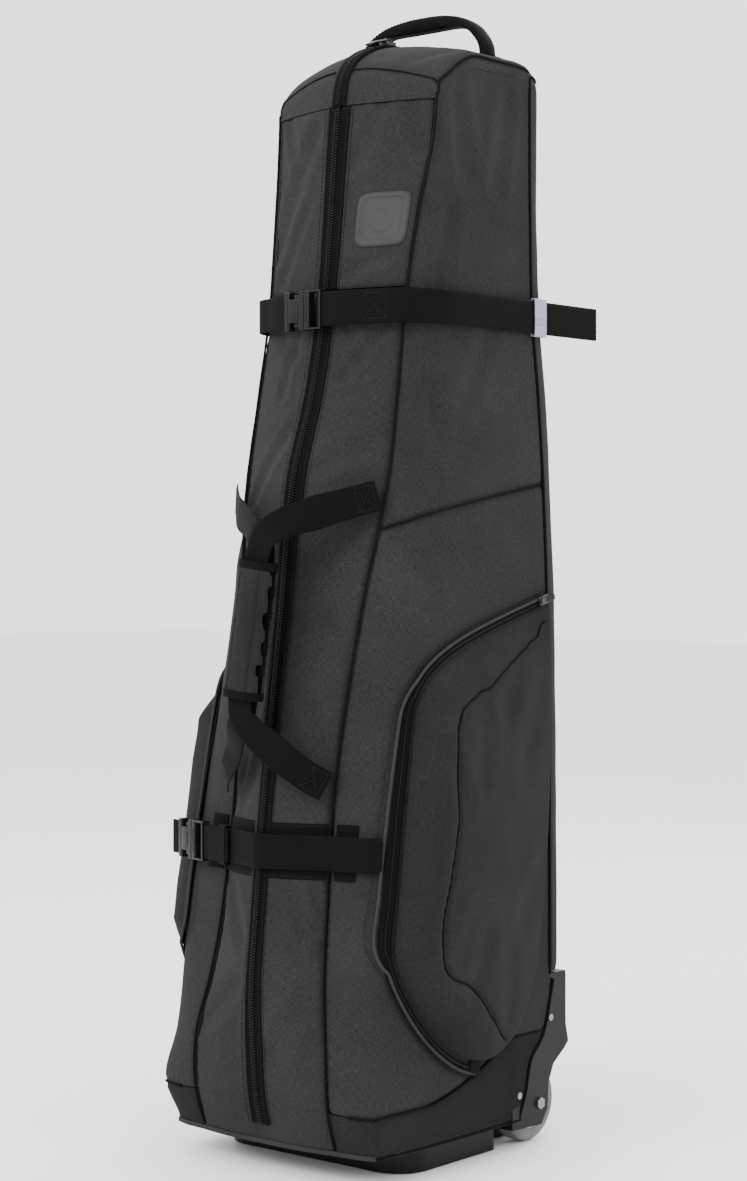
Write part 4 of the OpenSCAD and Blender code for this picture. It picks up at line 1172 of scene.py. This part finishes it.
    parts = [rounded_box([-1, -8, -5], [1.2, 8, 5], 1.0), rounded_box([1.4, -6, -4], [2.8, 7, 4], 0.6),
             rounded_box([0.9, -2.5, -1.2], [3.6, 2.5, 1.2], 0.5),
             rounded_box([3.3, -9, -3], [4.6, 0, 3], 0.6)]
    v, f, w = joined([placed(q, slider_place) for q in parts])
    piece(f"pocket_slider_{side}_metal", v, f, SLIDER, f"pocket_zip_slider_{side}",
          (f"pocket_slider_{side}",), w)
    parts = [rounded_box([3.4, 0, -2.8], [5.1, 15, 2.8], 0.8),
             rounded_box([3.1, 10, -3.2], [5.3, 16, 3.2], 1.0)]
    v, f, w = joined([placed(q, slider_place) for q in parts])
    piece(f"pocket_puller_{side}", v, f, BUCKLE, f"pocket_zip_slider_{side}", (), w)


# ---------------------------------------------------------------- straps
WEB_W, WEB_T = 38, 1.8


def outward(path2):
    d = np.gradient(np.asarray(path2, float), axis=0)
    d /= np.linalg.norm(d, axis=1, keepdims=True)
    return np.stack([d[:, 1], -d[:, 0], 0 * d[:, 0]], -1)


def strap_line(points, z, step=4.0):
    p = curve(np.column_stack([points, np.full(len(points), float(z))]), step)
    for _ in range(2):
        p[1:-1] = (p[:-2] + 2 * p[1:-1] + p[2:]) / 4
    return p


def web_strap(name, line, body, nodes=(), material=WEBBING, width=WEB_W, thick=WEB_T):
    v, f, w = swept(line, outward(line[:, :2]), band_profile(width, thick))
    o = piece(name, v, f, material, None, nodes, w, 50)
    if body:
        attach(o, body)
    return o


UPPER_PATH = [[124, -8], [118, -22], [107.5, -42], [60, -55], [34, -60.5], [20, -61.9], [4, -61.9],
              [0, -63.5],
              [4, -65.1], [20, -65.1], [34, -64.6], [60, -59], [110, -46.5], [121.5, -26], [130, -2],
              [133.5, 30],
              [134.5, 80], [134.5, 140], [134, 172], [134, 200], [135, 286]]
UPPER_ANCHOR = [[-129.5, 60], [-129, 30], [-121.5, -2], [-108.5, -37], [-84, -49], [-60, -58], [-44, -62.6]]
TILT = math.radians(-15.9)
LOWER_ORIGIN = np.array([-108.4, -134.8])


def lower_local(x, y):
    return (LOWER_ORIGIN + [x * math.cos(TILT) - y * math.sin(TILT),
                            x * math.sin(TILT) + y * math.cos(TILT)]).tolist()


LOWER_PATH = [[140.5, -116.8], [122, -127.5], [78, -138], [40, -154], [12, -165], [0, -166.4],
              [-14, -161.6]] + [
    lower_local(*p) for p in ((60, 1.6), (44, 1.6), (20, 1.6), (4, 1.6), (0, 0), (4, -1.6), (20, -1.6),
                              (62, -1.8))]

upper = strap_line(UPPER_PATH, STRAP_Z)
o = web_strap("upper_strap_web", upper, None, ("upper_strap_webbing",))
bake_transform(o)
web_strap("upper_strap_anchor_web", strap_line(UPPER_ANCHOR, STRAP_Z), "case", ("upper_strap_anchor",))
lower = strap_line(LOWER_PATH, LOWER_Z, 3.0)
o = web_strap("lower_strap_web", lower, None, ("lower_strap_webbing",))
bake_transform(o)
anchor = np.array([lower_local(x, -0.9) for x in (-60, -54, -48, -43.4)])
web_strap("lower_strap_anchor_web", strap_line(anchor, LOWER_Z, 2.0), "case", ("lower_strap_anchor",))


def cross_box(line, facing, i0, i1, half, lift=1.9):
    """Four sides and two diagonals of a sewn rectangle on a strap, between two places along it."""
    a, b = line[i0] + facing[i0] * lift, line[i1] + facing[i1] * lift
    f = (facing[i0] + facing[i1]) / 2
    up = np.array([0, 0, half])
    corners = [a - up, b - up, b + up, a + up]
    lines = [(corners[k], corners[(k + 1) % 4]) for k in range(4)] + [(corners[0], corners[2]),
                                                                      (corners[1], corners[3])]
    out = []
    for p, q in lines:
        t = np.linspace(0, 1, 12)[:, None]
        out.append((p + (q - p) * t, f))
    return out


def index_at(line, x, y):
    return int(np.argmin(np.hypot(line[:, 0] - x, line[:, 1] - y)))


face_up = outward(upper[:, :2])
far = [i for i in range(len(upper)) if i > len(upper) * 0.3]
i0, i1 = index_at(upper[far], 66, -58) + far[0], index_at(upper[far], 92, -52) + far[0]
sewn("upper_strap_stitching", cross_box(upper, face_up, i0, i1, 14), THREAD, "upper_strap")
low_face = outward(lower[:, :2])
j0, j1 = index_at(lower, 96, -133), index_at(lower, 118, -128)
sewn("lower_strap_stitching", cross_box(lower, low_face, j0, j1, 14), THREAD, "lower_strap")


# the keeper loops
def keeper(name, center, half, along, body, material, node):
    """A sewn band wrapped round the strap: half is (thickness, height), along its width."""
    w_, h_ = half
    ring = np.array([[math.copysign(abs(math.cos(t)) ** 0.35, math.cos(t)) * w_,
                      math.copysign(abs(math.sin(t)) ** 0.35, math.sin(t)) * h_] for t in
                     np.linspace(0, 2 * math.pi, 60, endpoint=False)])
    ts = np.linspace(-along / 2, along / 2, 9)
    thick = 0.9
    inner = ring * [1 - thick / w_, 1 - thick / h_]
    outer, inside = (np.stack([np.stack([r[:, 0], 0 * r[:, 0] + t, r[:, 1]],
                                        -1) for t in ts]) for r in (ring, inner))
    n, k = len(ts), len(ring)
    verts = np.concatenate([outer.reshape(-1, 3), inside.reshape(-1, 3)])
    faces = grid_faces(n, k, closed=True) + grid_faces(n, k, n * k, closed=True)
    for end in (0, n - 1):
        for c in range(k):
            a_, b_ = end * k + c, end * k + (c + 1) % k
            faces.append([a_, b_, b_ + n * k, a_ + n * k])
    arc = lengths(ring)
    w2 = np.stack(np.broadcast_arrays(arc[None, :], ts[:, None], 0.0), -1).reshape(-1, 3) * MM
    return piece(name, center(verts), faces, material, body, (node,), np.concatenate([w2, w2]), 50)


keeper("upper_strap_keeper", lambda p: p + [134.9, 172, STRAP_Z], (3.6, 22), 22, "upper_strap", ELASTIC,
       "upper_strap_loop")


def lower_place(p):
    q = np.array(p, float)
    x, y = q[:, 0].copy(), q[:, 1].copy()
    q[:, 0] = LOWER_ORIGIN[0] + x * math.cos(TILT) - y * math.sin(TILT)
    q[:, 1] = LOWER_ORIGIN[1] + x * math.sin(TILT) + y * math.cos(TILT)
    q[:, 2] += LOWER_Z
    return q


keeper("lower_strap_keeper", lambda p: lower_place(p[:, [1, 0, 2]] + [50, 0, 0]), (4.9, 22), 16,
       "lower_strap",
       WEBBING, "lower_strap_loop")

parts = []
for s, side in SIDES:
    for plan, u0, u1 in ((SIDE, 0.02, 0.1), (FRONT, 0.125, 0.955)):
        z, u = np.meshgrid(np.linspace(PATCH_LOW, PATCH_HIGH, 18), np.linspace(u0, u1, 30), indexing="ij")
        edge = np.minimum(np.minimum(z - PATCH_LOW, PATCH_HIGH - z), np.minimum((u - u0), (u1 - u)) * 90)
        off = -1.4 + 1.0 * bell(edge, 1.3)
        parts.append(shell(mirror(wall(plan, z, u, off), s), mirror(wall(plan, z, u, 0.6 + 0 * off), s)))
v, f, w = joined(parts)
piece("lower_strap_patch_web", v, f, WEBBING, "case", ("lower_strap_patches",), w, 50)
lines = []
for s, side in SIDES:
    for level in (PATCH_LOW + 3, PATCH_HIGH - 3):
        u = np.linspace(0.15, 0.93, 40)
        lines.append((mirror(wall(FRONT, level, u, -1.3), s), [0.3 * s, -1, 0]))
sewn("lower_strap_patch_stitching", lines, THREAD, "case")


# ---------------------------------------------------------------- side-release buckles
def socket_parts():
    return [rounded_box([-21, -5.6, -22], [-14, -3.3, 22], 1.0),
            rounded_box([-21, 3.3, -22], [-14, 5.4, 22], 1.0),
            rounded_box([-21, -5.4, 18.6], [-14, 5.3, 22], 1.0),
            rounded_box([-21, -5.4, -22], [-14, 5.3, -18.6], 1.0),
            rounded_box([-37, -5.5, -13.4], [-19, -3.3, 13.4], 1.0),
            rounded_box([-37, 3.3, -13.4], [-19, 5.3, 13.4], 1.0),
            rounded_box([-43, -5.5, -22], [-35.5, 5.3, 22], 1.8),
            rounded_box([-33, -6.0, -7.5], [-22, -5.0, 7.5], 0.45),
            rounded_box([-34, -5.9, 9.2], [-20, -5.0, 10.8], 0.4),
            rounded_box([-34, -5.9, -10.8], [-20, -5.0, -9.2], 0.4)]


def plug_parts():
    arms = []
    for m in (-1, 1):
        z0, z1 = sorted((m * 11.5, m * 16.5))
        arms.append(rounded_box([-30.5, -2.5, z0], [-12, 2.5, z1], 0.9))
        z0, z1 = sorted((m * 13, m * 18.2))
        arms.append(rounded_box([-31, -2.9, z0], [-22.5, 2.9, z1], 1.3))
        z0, z1 = sorted((m * 19.7, m * 22))
        arms.append(rounded_box([-13.4, -5.2, z0], [10.4, 5.2, z1], 1.0))
    return arms + [rounded_box([-13.6, -5.6, -22], [-6.2, 5.3, 22], 1.6),
                   rounded_box([-31, -2.3, -2.5], [-12, 2.3, 2.5], 0.9),
                   rounded_box([4.4, -1.1, -20.5], [6.6, 1.1, 20.5], 0.6),
                   rounded_box([7.6, -5.3, -20.5], [10.4, -3.7, 20.5], 0.6),
                   rounded_box([-12.4, -6.0, -14], [-9.2, -5.2, 14], 0.35)]


def upper_place(p):
    return np.asarray(p) + [0, -63.5, STRAP_Z]


for prefix, place, strap in (("upper", upper_place, "upper_strap"), ("lower", lower_place, "lower_strap")):
    v, f, w = joined([placed(q, place) for q in socket_parts()])
    piece(f"{prefix}_buckle_socket_body", v, f, BUCKLE, "case",
          (f"{prefix}_buckle_socket",), w)
    v, f, w = joined([placed(q, place) for q in plug_parts()])
    piece(f"{prefix}_buckle_plug_body", v, f, BUCKLE, strap, (f"{prefix}_buckle_plug",),
          w)


# ---------------------------------------------------------------- carry handle
def handle_points(s):
    k = -3 if s > 0 else 5.5
    front = lambda a_, b_: a_ if s > 0 else b_
    return np.array([[s * 104, -80, 735], [s * 84, -101, 727], [s * 60, -128 + k, 716],
                     [front(30, -12), -160 + k, 700],
                     [16, -172 + k, 674], [6, -176 + k, 590], [-4, -180 + k, 506],
                     [front(10, -22), -174 + k, 480],
                     [s * 40, -160 + k, 452], [s * 60, -145, 432], [s * 74, -131, 421]], float)


HANDLE_FACE = np.array([[0.6, -0.8, 0], [0.6, -0.8, 0], [0.5, -0.85, 0], [0.2, -0.95, 0], [0, -1, 0],
                        [0, -1, 0],
                        [0, -1, 0], [0.1, -0.98, 0], [0.3, -0.95, 0], [0.4, -0.9, 0], [0.4, -0.9, 0]])
for s, side in SIDES:
    both = curve(np.column_stack([handle_points(s), HANDLE_FACE * [s, 1, 1]]), 4.0)
    path, face = both[:, :3], both[:, 3:]
    ends = np.minimum(lengths(path), lengths(path)[-1] - lengths(path))
    v, f, w = swept(path, face, band_profile(34, 1.8, 10), 1 + 0.10 * bell(ends - 70, 22))
    o = piece(f"carry_handle_{side}_web", v, f, WEBBING, "case", (f"carry_handle_{side}",), w,
              50)
    unit = face / np.linalg.norm(face, axis=1, keepdims=True)
    n = len(path)
    lines = []
    for i, j in ((1, 6), (n - 7, n - 2)):
        a_, b_ = path[i] + unit[i] * 1.9, path[j] + unit[j] * 1.9
        _, _, ss = frames(path, face)
        half = ss[i] * 13
        box = [a_ - half, b_ - ss[j] * 13, b_ + ss[j] * 13, a_ + half]
        for p, q in zip(box, box[1:] + box[:1]):
            lines.append((p + (q - p) * np.linspace(0, 1, 12)[:, None], unit[i]))
        lines.append((box[0] + (box[2] - box[0]) * np.linspace(0, 1, 14)[:, None], unit[i]))
        lines.append((box[1] + (box[3] - box[1]) * np.linspace(0, 1, 14)[:, None], unit[i]))
    sewn(f"carry_handle_{side}_stitching", lines, THREAD, "case")

# ---------------------------------------------------------------- padded grip, puffed by simulation
# the cloth's fineness in metres, its air pressure, and how far in metres a point may move
GRIP_VOXEL = 0.0035
GRIP_PRESSURE = 3.2
GRIP_MOST_MOVE = 0.003
PUFF_FRAMES = 12
PUFF_CLOTH = {"quality": 5, "mass": 0.3, "tension_stiffness": 25, "bending_stiffness": 2}
# where the grip's lower end sits and how it leans
GRIP_AT = (Matrix.Translation((-3, -180, 515))
           @ Matrix.Rotation(math.radians(7), 4, "Y")
           @ Matrix.Rotation(math.radians(-2.8), 4, "X"))
GRIP_LONG = 150


def grip_place(p):
    m = np.array(GRIP_AT)
    return np.asarray(p) @ m[:3, :3].T + m[:3, 3]


def half_ring(half, w_, d_, r, count):
    """Half of a rounded oblong outline, from one side to the other."""
    t = np.linspace(0, math.pi, count)
    c, s_ = np.cos(t), np.sin(t)
    e = 2 / (2 + 1.6 * (1 - r / (d_ / 2)) + 0.8)
    x = np.sign(c) * np.abs(c) ** e * w_ / 2
    y = np.abs(s_) ** e * d_ / 2
    return np.stack([x, half * np.maximum(y, 0.4)], -1)


def grip_half(name, half, material, body, node):
    levels = np.r_[0, 1.2, 3, 6, np.linspace(10, GRIP_LONG - 10, 46), GRIP_LONG - 6, GRIP_LONG - 3,
                   GRIP_LONG - 1.2, GRIP_LONG]
    ends = np.minimum(levels, GRIP_LONG - levels)
    shrink = 1 - 0.16 * bell(ends, 3.2)
    out = half_ring(half, 46.4, 26.4, 12, 34)
    inn = half_ring(half, 43.0, 16.4, 5, 34)
    outer = np.stack([np.column_stack([out[:, 0] * (0.5 + 0.5 * k),
                                       inn[:, 1] + (out[:, 1] - inn[:, 1]) * k ** 2,
                                       0 * out[:, 0] + z]) for z, k in zip(levels, shrink)])
    inner = np.stack([np.column_stack([inn, 0 * inn[:, 0] + z]) for z in levels])
    verts, faces, _ = shell(outer, inner)
    o = piece(name, grip_place(verts), faces, material, None, (node,), None, 70)
    puff(o, GRIP_VOXEL, GRIP_PRESSURE, GRIP_MOST_MOVE)
    v = np.array([x.co for x in o.data.vertices]) / MM
    local = (v - np.array(GRIP_AT)[:3, 3]) @ np.array(GRIP_AT)[:3, :3]
    outside = local[:, 1] * half
    inside_limit = 8.0
    flat = np.abs(local[:, 0]) < 21.5
    local[:, 1] = np.where(flat & (outside < inside_limit), half * np.maximum(outside, 7.6), local[:, 1])
    local[:, 1] = np.where(~flat, half * np.maximum(local[:, 1] * half, 0.35), local[:, 1])
    for seam_x in (-13.5, 13.5):
        groove = 0.9 * bell(local[:, 0] - seam_x, 1.3) * (np.abs(local[:, 1]) > 10)
        local[:, 1] -= half * groove
    o.data.vertices.foreach_set("co", (grip_place(local) * MM).astype(np.float32).ravel())
    o.data.update()
    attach(o, body)
    return o


def puff(o, voxel, pressure, cap):
    """Remeshes a padded piece and lets cloth pressure swell it, with no point moving further than cap."""
    cloths = list(o.data.materials)
    m = o.modifiers.new("remesh", "REMESH")
    m.mode, m.voxel_size = "VOXEL", voxel
    dg = bpy.context.evaluated_depsgraph_get()
    mesh = bpy.data.meshes.new_from_object(o.evaluated_get(dg))
    o.modifiers.clear()
    work = bpy.data.objects.new(o.name + "_work", mesh)
    bpy.context.scene.collection.objects.link(work)
    start = np.zeros(len(mesh.vertices) * 3, np.float32)
    mesh.vertices.foreach_get("co", start)
    c = work.modifiers.new("cloth", "CLOTH")
    c.settings.use_pressure = True
    c.settings.uniform_pressure_force = pressure
    for setting, value in PUFF_CLOTH.items():
        setattr(c.settings, setting, value)
    c.settings.effector_weights.gravity = 0
    c.collision_settings.use_collision = False
    scene = bpy.context.scene
    for frame_number in range(1, PUFF_FRAMES + 1):
        scene.frame_set(frame_number)
    dg = bpy.context.evaluated_depsgraph_get()
    done = work.evaluated_get(dg)
    end = np.zeros(len(start), np.float32)
    done.data.vertices.foreach_get("co", end)
    move = (end - start).reshape(-1, 3)
    move -= move.mean(0)
    size = np.linalg.norm(move, axis=1, keepdims=True)
    move *= np.minimum(1, cap / np.maximum(size, 1e-9))
    work.modifiers.clear()
    mesh.vertices.foreach_set("co", (start.reshape(-1, 3) + move).ravel())
    s_ = work.modifiers.new("smooth", "SUBSURF")
    s_.levels = s_.render_levels = 1
    dg = bpy.context.evaluated_depsgraph_get()
    final = bpy.data.meshes.new_from_object(work.evaluated_get(dg))
    bpy.data.objects.remove(work)
    old = o.data
    o.data = final
    final.materials.clear()
    for cloth in cloths:
        final.materials.append(cloth)
    bpy.data.meshes.remove(old)
    final.shade_smooth()
    scene.frame_set(1)


grip_half("carry_grip_back", 1, GRIP, "case", "carry_handle_wrap")
grip_half("carry_grip_front", -1, GRIP, "grip_flap", "carry_wrap_flap")
for half, name, body in ((1, "back", "case"), (-1, "front", "grip_flap")):
    parts = []
    for level in (4.5, GRIP_LONG - 4.5):
        ring = half_ring(half, 47.6, 27.6, 12, 40)
        path = grip_place(np.column_stack([ring, 0 * ring[:, 0] + level]))
        parts.append(swept(path, np.tile(np.array(GRIP_AT)[:3, 2], (len(path), 1)), np.array(
            [[-0.6, -4.5], [0.5, -4.2], [0.7, 0], [0.5, 4.2], [-0.6, 4.5]])))
    v, f, w = joined(parts)
    piece(f"carry_grip_{name}_binding", v, f, PIPING, body, (), w, 50)
    lines = []
    for m in (-1, 1):
        at = np.linspace(10, GRIP_LONG - 10, 60)
        p = grip_place(np.column_stack([0 * at + m * 13.5, 0 * at + half * 13.7, at]))
        lines.append((p, np.array(GRIP_AT)[:3, 1] * half))
    sewn(f"carry_grip_{name}_stitching", lines, THREAD, body)

# ---------------------------------------------------------------- top handle
ARCH = np.array([[-91, -8.2], [-89.5, 2], [-84, 12], [-72, 25], [-52, 35], [-26, 40], [0, 41], [26, 40],
                 [52, 35], [72, 25], [84, 12],
                 [89.5, 2], [91, -8.2]], float)
HANDLE_Y = 130
base_z = float(dome_z(90, HANDLE_Y)) + 8.6
both = curve(np.column_stack([ARCH[:, 0], 0 * ARCH[:, 0] + HANDLE_Y, base_z + ARCH[:, 1], ARCH[:, 0] / 90,
                              0 * ARCH[:, 0],
                              0 * ARCH[:, 0] + 1]), 3.0)
path, face = both[:, :3], both[:, 3:]
flat = np.array([[-13, 1.2], [-12, 4.4], [-9, 6.0], [-4, 6.6], [0, 6.7], [4, 6.6], [9, 6.0], [12, 4.4],
                 [13, 1.2],
                 [12, -0.6], [6, -1.0], [0, -1.1], [-6, -1.0], [-12, -0.6]], float)
folded = np.array([[-9.6, -2], [-8.6, 2.6], [-6.4, 5.4], [-3, 6.5], [0, 6.6], [3, 6.5], [6.4, 5.4],
                   [8.6, 2.6], [9.6, -2],
                   [9.2, -8.6], [6.2, -11.4], [0, -9.8], [-6.2, -11.4], [-9.2, -8.6]], float)
fold = np.clip(1.12 - np.abs(path[:, 0]) / 84, 0, 1)
fold = (fold * fold * (3 - 2 * fold))[:, None, None]
profile = flat * (1 - fold) + folded * fold
_, nn, ss = frames(path, face)
verts = path[:, None] + ss[:, None] * profile[..., :1] + nn[:, None] * profile[..., 1:]
k = len(flat)
faces = grid_faces(len(path), k, closed=True) + [list(range(k))[::-1],
                                                 list(range((len(path) - 1) * k, len(path) * k))]
weave = np.stack(np.broadcast_arrays(lengths(np.vstack([flat, flat[:1]]))[None, :-1],
                                     lengths(path)[:, None], 0.0), -1)
piece("top_handle_web", verts, faces, WEBBING, "top_grab_handle", ("top_handle",),
      weave.reshape(-1, 3) * MM, 50)
lines = []
for m in (-1, 1):
    lines.append((path + nn * (5.6 - 0.4 * fold[:, :, 0]) + ss * (m * (9.6 - 3.6 * fold[:, :, 0])),
                  nn.mean(0)))
sewn("top_handle_stitching", lines, THREAD, "top_grab_handle")
for s, side in SIDES:
    tab = np.array([[s * mix(66, 103, t), HANDLE_Y, 0.0] for t in np.linspace(0, 1, 16)])
    tab[:, 2] = dome_z(np.abs(tab[:, 0]), tab[:, 1]) - 0.6
    v, f, w = swept(tab, np.tile([0.25 * s, 0, 1.0], (len(tab), 1)), band_profile(27, 1.4, 8, 0.4))
    piece(f"top_handle_anchor_{side}", v, f, WEBBING, "case", (), w, 50)

# ---------------------------------------------------------------- blank badge
BADGE_Z, BADGE_U = (1012, 1074), (0.3, 0.9)
n = 41
g1, g2 = np.meshgrid(np.linspace(-1, 1, n), np.linspace(-1, 1, n), indexing="ij")
square = np.maximum(np.abs(g1), np.abs(g2)) / np.maximum((np.abs(g1) ** 6 + np.abs(g2) ** 6) ** (1 / 6),
                                                         1e-9)
r1, r2 = g1 * square, g2 * square
z = mix(*BADGE_Z, (r1 + 1) / 2)
u = mix(*BADGE_U, (r2 + 1) / 2)
m = np.maximum(np.abs(g1), np.abs(g2))
rim = (2.2 + 1.0 * bell(m - 0.87, 0.075)
       - 1.6 * np.clip((m - 0.95) / 0.05, 0, 1) ** 2 - 0.7 * bell(m - 0.76, 0.03))
inner_ring = np.sqrt((g1 / 0.42) ** 2 + (g2 / 0.42) ** 2)
rim = rim + 0.5 * bell(inner_ring - 1, 0.10)
o = sheet("badge_patch_rubber", wall(FRONT, z, u, -rim), wall(FRONT, z, u, 0.4), BADGE, "flap_right",
          ("badge_patch",), 60)

# ---------------------------------------------------------------- wheels
WHEEL = (131.0, 146.0, 45.0)
tread = []
for x, r in ((-11, 30), (-12, 33), (-12, 40), (-10.5, 43.2), (-8.6, 44.4), (-7.4, 44.6), (-7.2, 43.6),
             (-6.2, 43.6), (-6, 44.8),
             (-1, 45), (-0.8, 44.0), (0.8, 44.0), (1, 45), (6, 44.8), (6.2, 43.6), (7.2, 43.6), (7.4, 44.6),
             (8.6, 44.4),
             (10.5, 43.2), (12, 40), (12, 33), (11, 30)):
    tread.append((r, x))
for s, side in SIDES:
    v, f, w = lathe(np.array(tread, float), 96)
    v = v * [s, 1, 1] + np.array(WHEEL) * [s, 1, 1]
    piece(f"tyre_{side}_rubber", v, f, TYRE, f"wheel_{side}", (f"tyre_{side}",), w, 30)

# ---------------------------------------------------------------- CAD parts that stay, with their finishes
FINISH = {"base_tray": TRAY, "base_board": BOARD, "back_board": BOARD, "inner_straps": WEBBING,
          "wheel_housing_left": HOUSING, "wheel_housing_right": HOUSING, "hub_left": HUB, "hub_right": HUB,
          "wheel_axles": STEEL, "wheel_bolts": STEEL, "kick_strips": STRIP, "main_zip_slider": SLIDER}
ROUNDED = {"base_tray": 3.0, "base_board": 1.0, "wheel_housing_left": 1.6, "wheel_housing_right": 1.6,
           "hub_left": 0.5,
           "hub_right": 0.5, "wheel_bolts": 0.5, "kick_strips": 0.7, "main_zip_slider": 0.9,
           "back_board": 0.8, "inner_straps": 0.6, "wheel_axles": 0.4}
for name, finish in FINISH.items():
    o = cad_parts[name]
    if not o.material_slots:
        o.data.materials.append(finish)
    for place in o.material_slots:
        place.link = "OBJECT"
        place.material = finish
    m = o.modifiers.new("rounded_edges", "BEVEL")
    m.width = ROUNDED[name] * MM
    m.segments = 3
    m.limit_method = "ANGLE"
    m.angle_limit = math.radians(32)
    m.harden_normals = False

# ---------------------------------------------------------------- floor, light and camera
def area(name, place, target, size, energy, colour=(1, 1, 1)):
    light = bpy.data.lights.new(name, "AREA")
    light.shape = "RECTANGLE"
    light.size, light.size_y = size
    light.energy = energy
    light.color = colour
    o = bpy.data.objects.new(name, light)
    bpy.context.scene.collection.objects.link(o)
    o.location = place
    o.rotation_euler = (Vector(target) - Vector(place)).to_track_quat("-Z", "Y").to_euler()


floor = bpy.data.meshes.new("floor")
reach = 14.0
floor.from_pydata([(-reach, -reach, -0.0012), (reach, -reach, -0.0012), (reach, reach, -0.0012),
                   (-reach, reach, -0.0012)], [],
                  [(0, 1, 2, 3)])
m, tree, shader = material("pale_floor", (0.9, 0.9, 0.9), 0.55)
tree.links.new(ranged(tree, noise(tree, coords(tree, (6, 6, 6), "object"), 1, 3), 0.5, 0.62),
               shader.inputs["Roughness"])
floor.materials.append(m)
floor_object = bpy.data.objects.new("floor", floor)
bpy.context.scene.collection.objects.link(floor_object)
floor_object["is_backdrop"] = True

AZIMUTH = math.radians(40)
DISTANCE, EYE = 2.75, 0.668
right = Vector((math.cos(AZIMUTH), math.sin(AZIMUTH), 0))
back = Vector((math.sin(AZIMUTH), -math.cos(AZIMUTH), 0))
camera = bpy.data.cameras.new("camera")
camera.sensor_width = 36
camera.lens = 2420 / 1181 * 36
camera.shift_y = -33.5 / 1181
camera.clip_end = 60
camera_object = bpy.data.objects.new("camera", camera)
bpy.context.scene.collection.objects.link(camera_object)
camera_object.location = back * DISTANCE + right * 0.0233 + Vector((0, 0, EYE))
camera_object.rotation_euler = (math.radians(90), 0, AZIMUTH)
bpy.context.scene.camera = camera_object

middle = (0, 0, 0.65)
left_front = back * 2.2 - right * 2.4
area("key_light", left_front + Vector((0, 0, 2.6)), middle, (1.6, 1.6), 130)
area("fill_light", back * 1.6 + right * 2.6 + Vector((0, 0, 1.9)), middle, (1.4, 1.8), 30)
area("rim_light", -back * 2.2 + right * 1.8 + Vector((0, 0, 2.4)), middle, (1.2, 1.2), 40)
area("top_light", Vector((0, 0, 3.4)), middle, (1.6, 1.6), 30)

world = bpy.data.worlds.new("studio")
world.use_nodes = True
world.node_tree.nodes["Background"].inputs["Color"].default_value = (0.98, 0.98, 1.0, 1)
world.node_tree.nodes["Background"].inputs["Strength"].default_value = 2.3
bpy.context.scene.world = world

bpy.context.view_layer.update()
low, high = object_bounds()
